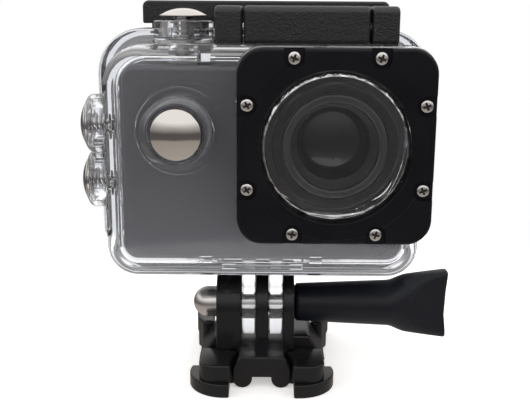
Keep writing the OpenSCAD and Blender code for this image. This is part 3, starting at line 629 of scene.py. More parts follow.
def make_button_places(case):
    """Where each plunger leaves the case: a point on the outer face, and the way out."""
    off = mm(case.gap) + mm(case.wall)
    face = {
        "shutter": ("z", CAM_HIGH[2] + mm(case.top_gap) + mm(case.wall)),
        "power": ("y", CAM_FRONT - off),
        "up": ("x", CAM_LOW[0] - off),
        "down": ("x", CAM_LOW[0] - off),
    }
    places = {}
    for name, (axis, value) in face.items():
        origin = middle(name + "_plunger")
        origin["xyz".index(axis)] = value
        places[name] = (origin, np.array(SIDES[name], float))
    return places


def reach_of(name, origin, axis):
    """How far a plunger reaches out of the case's face and into it, and its cap's radius."""
    low, high = span(name + "_plunger")
    out = max(np.dot(low - origin, axis), np.dot(high - origin, axis))
    inner = min(np.dot(low - origin, axis), np.dot(high - origin, axis))
    return out, inner, sorted(high - low)[1] / 2


def boss_profile(radius, height, edge, foot=0.7):
    """A boss with a quarter-round foot flaring into the case and a quarter-round outer edge."""
    flare = arc((radius + foot, foot), foot, 270, 180, 6)
    rim = arc((radius - edge, height - edge), edge, 0, 90, 8)
    return np.concatenate([[[radius + foot, -0.6]], flare, rim])


def boss_tools(height, cap_r, stem_r, cup):
    """Profiles of what a plunger needs cut out of the case: bore, spring pocket and cup."""
    pocket = stem_r + 1.93
    tools = [
        [(stem_r + 0.05, -5.2), (stem_r + 0.05, height + 0.5)],
        [(pocket, 0.9), (pocket, height + 0.5)],
        [(stem_r + 1.1, -0.7), (stem_r + 1.1, 0.5)],
    ]
    if cup:
        r = cap_r + 0.3
        tools.append([(r, height - 2), (r, height - 0.5), (r + 0.6, height + 0.4)])
    return tools


class CAMERA_OT_case(bpy.types.Operator):
    """Clear front shell of the case, with its bosses, prongs, lugs and lens port"""

    bl_idname = "camera.case"
    bl_label = "Case"

    def execute(self, context):
        case, port, button = (
            context.scene.camera_case, context.scene.camera_port, context.scene.camera_buttons
        )
        gap, wall = mm(case.gap), mm(case.wall)
        inner = CAM_FRONT - gap
        part = DOOR_LOW[1] - 0.1
        low, top = CAM_LOW[2] - gap - wall, CAM_HIGH[2] + mm(case.top_gap) + wall
        shell = mesh_of("case_shell", slab(case_outline(case), inner - wall, part, mm(case.edge)))
        shell = joined(
            shell,
            slab(flange_outline, part - mm(case.flange_t), part, mm(case.flange_edge), 0.3),
            slab(port_outline(mm(port.corner), 0.3), BEZEL_HIGH[1], inner - PAST, 0.5),
        )
        shell = cut(shell, slab(cavity_outline(case), inner, part + PAST, 1.0))
        shell = joined(shell, *self.ribs(low + wall, top - wall, inner, gap))
        tools, bosses = self.bosses(case, button, wall)
        shell = joined(shell, *bosses, *self.mounts(case, low, top, part))
        view, back = mm(port.view_r), BEZEL_HIGH[1]
        tools += [
            rod(view, back - PAST, inner + PAST, LENS_AXIS, Y_WAY, 96),
            rod(SEAT_R, back - PAST, back + SEAL_SEAT, LENS_AXIS, Y_WAY, 96),
        ]
        for x, z in screw_places(port):
            tools.append(rod(SCREW_HOLE_R, back - PAST, back + 4, np.array([x, 0, z]), Y_WAY, 24))
        pin_start, pin_stop = LATCH_PIN_LOW[0], LATCH_PIN_HIGH[0]
        tools += [
            rod(BOLT_R + 0.08, -6, 6, PIVOT_AXIS, X_WAY),
            rod(LATCH_PIN_R + 0.02, pin_start - PAST, pin_stop + PAST, LATCH_AXIS, X_WAY),
            rod(LATCH_PIN_R + 1.9, pin_start + LUG_LEFT, pin_stop - LUG_RIGHT, LATCH_AXIS, X_WAY),
            rod(1.02, -15, 15, DOOR_AXIS, X_WAY),
        ]
        shell = cut(shell, *tools)
        look = finish_of("clear_plastic")
        placed(shell, "housing", "clear_case", look, "housing_front_shell", sharp=30)
        return {"FINISHED"}

    def ribs(self, floor, roof, inner, gap):
        """The ribs that hold the camera: two pairs above and below it, and four at its sides."""
        made = []
        for x in RIB_PLACES:
            for base, tip, lip in ((floor, CAM_LOW[2], 0.8), (roof, CAM_HIGH[2], -0.8)):
                base -= math.copysign(PAST, lip)
                z = sorted((base, tip))
                made.append(box_rings((x - 1.35, inner - PAST, z[0]), (x + 1.35, 5, z[1])))
                z = sorted((base, tip + lip))
                far = (x + 1.3, CAM_FRONT - 0.02, z[1])
                made.append(box_rings((x - 1.3, inner - PAST, z[0]), far))
        for side, x in ((-1, CAM_LOW[0]), (1, CAM_HIGH[0])):
            for z in (CAM_LOW[2] + 5, CAM_HIGH[2] - 5):
                across = sorted((x, x + side * (gap + PAST)))
                made.append(box_rings((across[0], -8, z - 0.6), (across[1], 5, z + 0.6)))
        return made

    def bosses(self, case, button, wall):
        """What each button takes from the case, and what it adds."""
        tools, made = [], []
        for name, (origin, axis) in make_button_places(case).items():
            out, _, cap_r = reach_of(name, origin, axis)
            cup = name != "shutter"
            height = out - (1.5 if cup else 2.55)
            wide = mm(button.front_boss_r if name == "power" else button.boss_r)
            if name == "power":
                shape = [
                    (wide + 0.2, -0.6), (wide + 0.2, 0.1), (wide, 0.3), (wide, height - 1.6),
                    (wide - 0.1, height - 1.4), (wide - 1.2, height - 0.05), (wide - 1.3, height),
                ]
            else:
                shape = boss_profile(wide, height, 1.5 if cup else 0.35)
            made.append(turned(shape, origin, axis))
            for profile in boss_tools(height, cap_r, mm(button.stem_r), cup):
                tools.append(turned(profile, origin, axis))
            if name == "power":
                bead = [
                    (wide + 1.72, -0.4), (wide + 1.72, 0.3), (wide + 1.6, 0.5), (wide + 1.4, 0.5),
                    (wide + 1.28, 0.3), (wide + 1.28, -0.4),
                ]
                made.append(mesh_of("tool", turned(bead, origin, axis), loop=True))
            if name == "shutter":
                made.append(rod(5.65, -wall - 1.0, -wall + 0.5, origin, axis))
        return tools, made

    def mounts(self, case, low, top, part):
        """Prongs and their plinth, the latch's two lugs and the door's two knuckles."""
        y, z = PIVOT[1], PIVOT[2]
        thick = mm(case.prong_t)
        prong = lambda inset: hanging(y, z, mm(case.prong_r), 6.5, low + 0.6, inset)
        made = [slab_x(prong, x, x + thick, 0.35) for x in (-PRONG_IN - thick, PRONG_IN)]
        plinth = lambda inset: rounded(-9, 9, low - 0.8, low + 1.5, 0.5, 0.5, inset)
        made.append(slab(plinth, -9.5, 6.5, 0.4, 0.1))
        lug_r, (_, pin_y, pin_z) = LATCH_PIN_R + 1.4, LATCH_PIN
        lug = lambda inset: hanging(pin_y, pin_z, lug_r, lug_r, top - 0.5, inset)
        made.append(slab_x(lug, LATCH_PIN_LOW[0], LATCH_PIN_LOW[0] + LUG_LEFT, 0.3))
        made.append(slab_x(lug, LATCH_PIN_HIGH[0] - LUG_RIGHT, LATCH_PIN_HIGH[0], 0.3))
        y, z = DOOR_PIN[1], DOOR_PIN[2]
        hinge = lambda inset: hanging(y, z, KNUCKLE_R, KNUCKLE_R, z + 0.1, inset)
        for x in CASE_KNUCKLES:
            end = x + KNUCKLE_W
            made.append(slab_x(hinge, x, end, 0.2))
            made.append(box_rings((x, part - 1.5, z - KNUCKLE_R), (end, y, z + KNUCKLE_R)))
        return made


def screw_places(port):
    """The eight screws of the bezel: two to a side, as (x, z)."""
    far = (BEZEL_HIGH[0] - BEZEL_LOW[0]) / 2 - mm(port.inboard)
    near = mm(port.pitch) / 2
    for a, b in ((far, near), (far, -near), (-far, near), (-far, -near)):
        yield LENS[0] + a, LENS[2] + b
        yield LENS[0] + b, LENS[2] + a


def tube(outline, y0, y1, first, second):
    """A ring-shaped wall between two insets of an outline, as a closed loop of rings."""
    corners = ((y0, first), (y1, first), (y1, second), (y0, second))
    return mesh_of("tool", np.array([lifted(outline, y, inset) for y, inset in corners]), loop=True)


class CAMERA_OT_door(bpy.types.Operator):
    """Clear door at the back of the case, with its lip, hinge and screen frame"""

    bl_idname = "camera.door"
    bl_label = "Door"

    def execute(self, context):
        case = context.scene.camera_case
        gap, wall = mm(case.gap), mm(case.wall)
        face = DOOR_LOW[1]
        back = CAM_BACK + gap + wall
        y, z = DOOR_PIN[1], DOOR_PIN[2]
        screen = lambda inset: rounded(-26, 26, CAM_LOW[2] + 4, CAM_HIGH[2] - 4, 4, 4, inset)
        groove = lambda inset: rounded(
            GASKET_LOW[0] - 0.02, GASKET_HIGH[0] + 0.02, GASKET_LOW[2] - 0.02,
            GASKET_HIGH[2] + 0.02, 6.5, 8, inset,
        )
        lip = lambda inset: rounded(-20, 20, DOOR_HIGH[2] - 3, DOOR_HIGH[2], 0.3, 0.3, inset)
        hinge = lambda inset: hanging(y, z, KNUCKLE_R, KNUCKLE_R, z + 2.6, inset)
        door = mesh_of("case_door", slab(flange_outline, face, back, 0.3, mm(case.door_edge)))
        door = cut(door, slab(cavity_outline(case), face - PAST, CAM_BACK + gap, 0, 0.8))
        added = [slab(lip, back - 1.3, DOOR_HIGH[1], 0.1, 0.2)]
        for x, wide in ((-18.3, 4.4), (13.9, 4.4), (-10.4, 4.2), (6.2, 4.2)):
            added.append(slab_x(hinge, x, x + wide, 0.2))
        door = joined(door, *added)
        door = joined(door, tube(screen, back - PAST, back + 0.4, 0, 1.4))
        door = cut(door, tube(groove, face - PAST, GASKET_HIGH[1], 0, 1.6))
        tools = [
            box_rings((x - 0.1, face - PAST, z - 4), (x + 3.4, back + PAST, z + 2.5))
            for x in CASE_KNUCKLES
        ]
        door = cut(door, *tools, rod(1.05, -20, 20, DOOR_AXIS, X_WAY))
        placed(door, "door", "clear_case", finish_of("clear_plastic"), "back_door", sharp=30)
        gasket = softened("door_gasket", 0.25)
        placed(gasket, "door", "gasket_silicone", finish_of("silicone"), "door_gasket")
        return {"FINISHED"}


class CAMERA_OT_port(bpy.types.Operator):
    """Black bezel with its eight screws, and the window and its seal"""

    bl_idname = "camera.port"
    bl_label = "Lens port"

    def execute(self, context):
        port = context.scene.camera_port
        front, back = BEZEL_LOW[1], BEZEL_HIGH[1]
        view = mm(port.view_r)
        block_rings = slab(port_outline(mm(port.corner)), front, back, mm(port.edge), 0.15)
        bezel = mesh_of("port_bezel_look", block_rings)
        lip = WINDOW_HIGH[1] - 1.3
        mouth = [
            (view + 0.9, front - 0.3), (view + 0.25, front + 0.35), (view, front + 0.9),
            (view, back + PAST),
        ]
        dish = [(18.75, front - 0.1), (18.6, front + 0.1), (view + 0.4, front + 0.22)]
        tools = [
            turned(mouth, LENS_AXIS, Y_WAY, 128),
            turned(dish, LENS_AXIS, Y_WAY, 128),
            rod(SEAT_R, lip, back + PAST, LENS_AXIS, Y_WAY, 128),
        ]
        half, floor = mm(port.pocket) / 2, front + mm(port.pocket_depth)
        for x, z in screw_places(port):
            place = np.array([x, 0, z])
            away = place - LENS_AXIS
            along = 0 if abs(away[0]) > abs(away[2]) else 2
            low, high = place - half, place + half
            if away[along] > 0:
                low[along], high[along] = place[along], place[along] + 3
            else:
                low[along], high[along] = place[along] - 3, place[along]
            low[1], high[1] = front - PAST, floor
            tools += [
                box_rings(low, high),
                rod(half, front - PAST, floor, place, Y_WAY, 40),
                rod(SCREW_HOLE_R, front - PAST, back + PAST, place, Y_WAY, 24),
            ]
        bezel = cut(bezel, *tools)
        placed(bezel, "housing", "bezel_black", finish_of("bezel_black"), "port_bezel", sharp=30)
        self.screws(port, floor)
        self.window(view, lip)
        seal = softened("window_seal", 0.1)
        placed(seal, "housing", "seal_rubber", finish_of("seal_rubber"), "window_seal")
        return {"FINISHED"}

    def screws(self, port, floor):
        """The eight screws as one piece, with painted shade: the bottom of each cross is given a
        dark finish.
        """
        parts = None
        for number, (x, z) in enumerate(screw_places(port)):
            part = self.screw(port, np.array([x, 0, z]), 20 + 47 * number)
            parts = part if parts is None else merged(parts, part)
        placed(parts, "housing", "steel_bright", finish_of("steel"), "bezel_screws", sharp=30)
        # painted shade: the faces at the bottom of each cross take this dark second finish
        parts.data.materials.append(finish_of("steel_recess"))
        centres = np.empty(len(parts.data.polygons) * 3)
        parts.data.polygons.foreach_get("center", centres)
        x, y, z = centres.reshape(-1, 3).T / MM
        near = np.min([np.hypot(x - a, z - b) for a, b in screw_places(port)], 0)
        painted_shade_faces = (near < 1) & (y > floor - HEAD_T + 0.3)
        parts.data.polygons.foreach_set("material_index", painted_shade_faces.astype(np.int32))

    def window(self, view, lip):
        """The clear window and the ground ring round its edge."""
        rim, seat, y = view - 0.1, SEAT_R - 0.1, WINDOW_LOW[1]
        inner, back = rim - 0.85, WINDOW_HIGH[1]
        profile = [
            (inner, y), (inner, lip - 0.05), (inner + 0.1, lip), (seat - 0.1, lip),
            (seat, lip + 0.1), (seat, back),
        ]
        window = mesh_of("window_look", turned(profile, LENS_AXIS, Y_WAY, 128))
        look = finish_of("window_glass")
        placed(window, "housing", "window_glass", look, "lens_window", sharp=20)
        profile = [
            (inner + 0.02, y + 0.03), (inner + 0.1, y), (rim - 0.06, y + 0.5), (rim, y + 0.62),
            (rim, lip - 0.06), (inner + 0.02, lip - 0.06),
        ]
        ground = mesh_of("window_rim", turned(profile, LENS_AXIS, Y_WAY, 128), loop=True)
        placed(ground, "housing", "window_glass", finish_of("window_rim"), "lens_window", sharp=40)

    def screw(self, port, place, turn):
        """A low-domed head on a shank, with a cross cut into it at an angle."""
        front, head = BEZEL_LOW[1] + mm(port.pocket_depth), mm(port.head) / 2
        top = front - HEAD_T
        t = np.linspace(0.05, 1.5, 9)
        dome = list(zip(head * np.sin(t), top + 0.28 * (1 - np.cos(t))))
        profile = dome + [
            (head, front - 0.15), (head - 0.1, front - 0.01), (0.78, front), (0.78, front + 5)
        ]
        screw = mesh_of("bezel_screws_look", turned(profile, place, (0, 1, 0), 32))
        bars = []
        for angle in (turn, turn + 90):
            c, s = math.cos(math.radians(angle)), math.sin(math.radians(angle))
            rings = []
            for y, long, wide in ((top - 0.3, 0.98, 0.25), (top + 0.5, 0.62, 0.17)):
                corner = np.array([[-long, -wide], [long, -wide], [long, wide], [-long, wide]])
                rings.append(place + np.stack([
                    corner[:, 0] * c - corner[:, 1] * s,
                    np.full(4, y),
                    corner[:, 0] * s + corner[:, 1] * c,
                ], 1))
            bars.append(np.array(rings))
        return cut(screw, *bars)


def merged(first, second):
    """Two pieces' meshes in the first's object."""
    made = bmesh.new()
    made.from_mesh(first.data)
    made.from_mesh(second.data)
    made.to_mesh(first.data)
    made.free()
    bpy.data.objects.remove(second)
    return first


def coil(length, radius, wire, turns, origin, axis):
    """A round wire along a helix: centre = r(cos a, sin a) at height h, closing up at each end.

    Height follows a smooth step of the turn, so the first and last turns lie flat."""
    steps, sides = int(turns * 40), 12
    t = np.linspace(0, 1, steps + 1)
    a = 2 * np.pi * turns * t
    free = 0.8 / turns
    climb = np.clip((t - free / 2) / (1 - free), 0, 1)
    climb = 0.12 * t + 0.88 * climb
    b = np.linspace(0, 2 * np.pi, sides, endpoint=False)
    out = radius + wire / 2 * np.cos(b)[None, :]
    up = wire / 2 + (length - wire) * climb[:, None] + wire / 2 * np.sin(b)[None, :]
    side = np.cross(axis, (0, 0, 1) if abs(axis[2]) < 0.9 else (0, 1, 0))
    other = np.cross(axis, side)
    circle = np.cos(a)[:, None] * side + np.sin(a)[:, None] * other
    return origin + out[..., None] * circle[:, None, :] + up[..., None] * axis


class CAMERA_OT_plungers(bpy.types.Operator):
    """The four chrome plungers, their springs, seals and clips"""

    bl_idname = "camera.plungers"
    bl_label = "Plungers"

    def execute(self, context):
        case, button = context.scene.camera_case, context.scene.camera_buttons
        stem, wire = mm(button.stem_r), mm(button.wire)
        for name, (origin, axis) in make_button_places(case).items():
            out, inner, cap_r = reach_of(name, origin, axis)
            dome = 1.5
            edge = out - dome
            base = edge - (0.25 if name == "shutter" else 1.0)
            lean = np.linspace(0, 1, 14)
            crown = np.stack([cap_r * (1 - lean), edge + dome * (1 - (1 - lean) ** 2.15)], 1)[1:]
            profile = np.concatenate([
                [(stem - 0.25, inner), (stem, inner + 0.25), (stem, base), (cap_r - 0.12, base)],
                [(cap_r, base + 0.1), (cap_r, edge - 0.05), (cap_r - 0.03, edge + 0.06)],
                crown,
            ])
            plunger = mesh_of(name + "_plunger_look", turned(profile, origin, axis, 96))
            body = name + "_plunger"
            placed(plunger, body, "chrome_cap", finish_of("chrome"), body, sharp=50)
            floor = origin + axis * 0.9
            length = base - 0.9
            spring = mesh_of(
                name + "_spring_look",
                coil(length, stem + 0.35 + wire / 2, wire, button.turns, floor, axis),
            )
            steel = finish_of("spring_steel")
            placed(spring, "housing", "spring_steel", steel, name + "_spring", sharp=60)
            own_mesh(spring)
            clip = softened(name + "_clip", 0.08)
            placed(clip, body, "spring_steel", steel, name + "_clip")
        seals = softened("plunger_seals", 0)
        placed(seals, "housing", "seal_rubber", finish_of("seal_rubber"), "plunger_seals", sharp=80)
        return {"FINISHED"}


class CAMERA_OT_body(bpy.types.Operator):
    """The camera's covers, frame, screen, screws, ports, lights and buttons"""

    bl_idname = "camera.body"
    bl_label = "Camera body"

    def execute(self, context):
        outline = lambda inset: rounded(
            CAM_LOW[0], CAM_HIGH[0], CAM_LOW[2], CAM_HIGH[2], 3, 3, inset
        )
        deep = span("camera_front_cover")[1][1]
        cover = mesh_of("front_cover", slab(outline, CAM_FRONT, deep, 1.1, 0.12))
        cover = cut(cover, slab(lambda i: outline(i + 1.6), CAM_FRONT + 1.6, deep + PAST))
        power = middle("camera_power_button")
        power[1] = 0
        start, stop = CAM_FRONT - 1, CAM_FRONT + 2.5
        cover = cut(
            cover,
            rod(BARREL_R - 2.5, start, stop, LENS_AXIS, Y_WAY, 96),
            rod(3.55, start, stop, power, Y_WAY, 64),
        )
        look = finish_of("panel_metallic")
        placed(cover, "housing", "camera_grey", look, "camera_front_cover", sharp=30)
        for node, width, slot, look in (
            ("camera_mid_frame", 0.15, "camera_black", "camera_black"),
            ("camera_back_cover", 0.3, "camera_black", "camera_black"),
            ("battery_door", 0.2, "camera_black", "camera_black"),
            ("display_glass", 0.15, "display_black", "display_black"),
            ("body_screws", 0.05, "steel_bright", "steel"),
            ("data_ports", 0.1, "port_steel", "port_steel"),
            ("status_lights", 0.1, "status_led", "status_led"),
        ):
            placed(softened(node, width), "housing", slot, finish_of(look), node)
        for name in ("shutter", "power", "up", "down"):
            node = f"camera_{name}_button"
            look = finish_of("button_grey")
            placed(softened(node, 0.3), f"{name}_button", "button_grey", look, node)
        return {"FINISHED"}


class CAMERA_OT_lens(bpy.types.Operator):
    """The lens: barrel with its ridged mouth, trim ring and glass"""

    bl_idname = "camera.lens"
    bl_label = "Lens"

    def execute(self, context):
        r, y = BARREL_R, BARREL_LOW[1]
        back, seat = BARREL_HIGH[1], CAM_FRONT
        ridges = []
        for step in np.linspace(0, 1, 9)[:-1]:
            wide, deep = r - 3.95 - 1.1 * step, 0.95 + 4.3 * step
            ridges += [(wide, deep), (wide - 0.06, deep + 0.34), (wide - 0.25, deep + 0.4)]
        profile = [(r - 2.05, 0.9), (r - 2.05, 0.06), (r - 1.95, 0), (r - 0.6, 0), (r - 0.25, 0.1),
                   (r - 0.05, 0.35), (r, 0.7), (r, seat - y), (r - 2.55, seat - y),
                   (r - 2.55, back - y), (5, back - y), (5, seat - y + 2.2),
                   (r - 5.2, seat - y + 2.2), (r - 5.2, 6.3)] + ridges[::-1]
        profile = np.array(profile) + [0, y]
        barrel = mesh_of("lens_barrel_look", turned(profile, LENS_AXIS, Y_WAY, 128), loop=True)
        placed(barrel, "housing", "lens_black", finish_of("lens_black"), "lens_barrel", sharp=25)

        ring = arc((r - 3.05, 0.35), 0.55, 0, -180, 12) * [1.6, 1] - [(r - 3.05) * 0.6, 0]
        sides = [(r - 2.1, 0.86), (r - 2.1, 0.25)], [(r - 4.0, 0.25), (r - 4.0, 0.86)]
        ring = np.concatenate([sides[0], ring, sides[1]])
        ring[:, 1] = np.maximum(ring[:, 1], -0.1) + y
        trim = mesh_of("lens_trim_look", turned(ring, LENS_AXIS, Y_WAY, 128), loop=True)
        placed(trim, "housing", "trim_grey", finish_of("trim_grey"), "lens_trim_ring", sharp=40)

        wide = r - 5.26
        t = np.linspace(0, 1, 20)
        front = np.stack([wide * t, 5.4 + 1.1 * t**2], 1)[1:]
        rear = np.stack([wide * t, 8.4 - 0.6 * (1 - t**2)], 1)[1:]
        profile = np.concatenate([front, rear[::-1]]) + [0, y]
        glass = mesh_of("lens_element_look", turned(profile, LENS_AXIS, Y_WAY, 96))
        look = finish_of("lens_glass")
        placed(glass, "housing", "lens_glass", look, "lens_front_element", sharp=40)
        return {"FINISHED"}


class CAMERA_OT_latch(bpy.types.Operator):
    """The black latch on top: link, lever and their pins"""

    bl_idname = "camera.latch"
    bl_label = "Latch"

    def execute(self, context):
        link_low, link_high = span("latch_arm")
        lever_low, lever_high = span("latch_lever")
        knuckle = middle("latch_knuckle_pin")
        knuckle_axis = np.array([0, knuckle[1], knuckle[2]])
        front, back = link_low[1], 2 * knuckle[1] - link_low[1]
        low, top = link_high[2] - BLOCK_TALL, link_high[2]
        side = rounded(front, back, low, top, 1.5, 1.5)
        tongue_r, pin_z = LATCH_PIN_R + 1.6, LATCH_PIN[2]
        tongue = np.concatenate([
            arc((LATCH_PIN[1], pin_z), tongue_r, -90, 90, 24),
            [[back - 1, pin_z + tongue_r - 0.2], [back - 1, pin_z - tongue_r + 0.2]],
        ])
        start = LATCH_PIN_LOW[0] + LUG_LEFT + 0.1
        stop = LATCH_PIN_HIGH[0] - LUG_RIGHT - 0.1
        link_block = block(side, "x", link_low[0], link_high[0], 0.8)
        link = joined(link_block, block(tongue, "x", start, stop, 0.3))
        link = cut(
            link,
            rod(LATCH_PIN_R + 0.01, link_low[0] - 1, link_high[0] + 1, knuckle_axis, X_WAY, 40),
            rod(LATCH_PIN_R + 0.05, start - 1, stop + 1, LATCH_AXIS, X_WAY, 40),
        )
        look = finish_of("grained_black")
        placed(link, "latch_link", "black_plastic_grained", look, "latch_arm", sharp=30)

        right = lever_high[0]
        left = link_low[0] - (right - link_high[0])
        bar_low, bar_back = DOOR_HIGH[2] + 0.5, lever_high[1]
        bar = lambda inset: rounded(
            lever_low[0], right, bar_low, lever_high[2], 0.4, 1.4, inset
        )
        lever = mesh_of("latch_lever_look", slab(bar, BAR_FRONT, bar_back, 0.5, 1.2))
        hook = [
            (bar_back - HOOK_T, DOOR_HIGH[2] - 2), (bar_back, DOOR_HIGH[2] - 2),
            (bar_back, bar_low + 0.6), (bar_back - HOOK_T, bar_low + 0.6),
        ]
        arm = [
            (back - 1, top - 3.2), (back - 1, top - 0.05), (BAR_FRONT + 1, top - 0.05),
            (BAR_FRONT + 1, top - 3.2),
        ]
        parts = [block(hook, "x", lever_low[0] + 1, right - 1, 0.3)]
        for x0, x1 in ((left, link_low[0] - 0.3), (link_high[0] + 0.3, right)):
            parts.append(block(side, "x", x0, x1, 0.8))
            parts.append(block(arm, "x", x0 + 0.05, x1 - 0.05, 0.4))
        lever = joined(lever, *parts)
        lever = cut(lever, rod(LATCH_PIN_R + 0.05, left + 1, right - 1, knuckle_axis, X_WAY, 40))
        placed(lever, "latch_lever", "black_plastic_grained", look, "latch_lever", sharp=30)
        for node in ("latch_hinge_pin", "latch_knuckle_pin", "door_hinge_pin"):
            body = frame["nodes"][node]["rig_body"]
            placed(softened(node, 0.15), body, "steel_bright", finish_of("steel"), node)
        return {"FINISHED"}


class CAMERA_OT_knob(bpy.types.Operator):
    """The thumb screw's knob: a round shaft that flattens into a scooped wing"""

    bl_idname = "camera.knob"
    bl_label = "Thumb screw"

    def execute(self, context):
        low, high = span("thumb_screw_knob")
        start, end, tall = low[0], high[0], (high[2] - low[2]) / 2
        wing = end - 11.5
        around = 96
        x = np.concatenate([np.linspace(start, wing, 40), np.linspace(wing, end, 50)[1:]])
        shaft = 4.3 + 1.05 * (x - start) / (wing - start)
        rise = np.clip((x - wing + 2) / 13.0, 0, 1)
        swell = np.clip((x - wing + 2.5) / 4.5, 0, 1)
        swell = swell * swell * (3 - 2 * swell)
        height = np.minimum(shaft + (tall - shaft) * (0.30 * swell + 0.70 * rise**0.9), tall)
        thick = shaft + (3.15 - shaft) * np.sin(rise * np.pi / 2) ** 0.8
        first = np.clip((x - start) / 0.7, 0, 1)
        last = np.clip((end - x) / 1.0, 0, 1)
        round_first = np.sqrt(1 - (1 - first) ** 2) * 0.16 + 0.84
        round_last = np.sqrt(np.maximum(1 - (1 - last) ** 2, 0)) * 0.14 + 0.86
        trim = round_first * round_last
        a = np.linspace(0, 2 * np.pi, around, endpoint=False)
        power = (1 - 0.35 * rise)[:, None]
        cos, sin = np.cos(a)[None, :], np.sin(a)[None, :]
        z = height[:, None] * trim[:, None] * np.sign(sin) * np.abs(sin) ** power
        y = thick[:, None] * trim[:, None] * np.sign(cos) * np.abs(cos) ** power
        oval = ((x[:, None] - end - 2.0) / 11.8) ** 2 + (z / (tall * 0.93)) ** 2
        scoop = np.clip((1 - oval) / 0.09, 0, 1)
        scoop = scoop * scoop * (3 - 2 * scoop)
        y = y - np.sign(y) * scoop * (0.5 + 1.1 * np.clip(1 - oval, 0, 1)) * np.abs(cos) ** 0.5
        hollow = 0.9 * (1 - (z / tall) ** 2) * np.clip((x[:, None] - end + 3) / 3, 0, 1)
        ring_x = np.repeat(x[:, None], around, 1) - hollow
        rings = np.stack([ring_x, PIVOT[1] + y, PIVOT[2] + z], -1)
        knob = mesh_of("thumb_screw_look", rings)
        knob = cut(knob, rod(BOLT_R + 0.02, start - PAST, start + 12, PIVOT_AXIS, X_WAY))
        look = finish_of("knob_black")
        placed(knob, "thumb_screw", "knob_plastic", look, "thumb_screw_knob", sharp=50)

        shank = softened("thumb_screw_bolt", 0.3)
        placed(shank, "thumb_screw", "steel_bright", finish_of("steel"), "thumb_screw_bolt")
        start, stop = NUT_LOW[0], NUT_HIGH[0]
        face = start + 5.6
        dome = arc((start + 3.5, 0), 3.5, 180, 90, 16)[1:, ::-1]
        profile = np.concatenate([np.abs(dome[:, :1]), dome[:, 1:]], 1).tolist()
        nut = mesh_of("nut_look", turned(profile + [(3.5, face + 0.3)], PIVOT_AXIS, X_WAY, 64))
        nut = joined(nut, rod(NUT_R, face - 0.2, stop, PIVOT_AXIS, X_WAY, 6))
        nut = cut(nut, rod(BOLT_R + 0.05, start + 1.6, stop + PAST, PIVOT_AXIS, X_WAY))
        body = frame["nodes"]["mount_nut"]["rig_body"]
        placed(nut, body, "steel_bright", finish_of("steel"), "mount_nut", sharp=30)
        return {"FINISHED"}


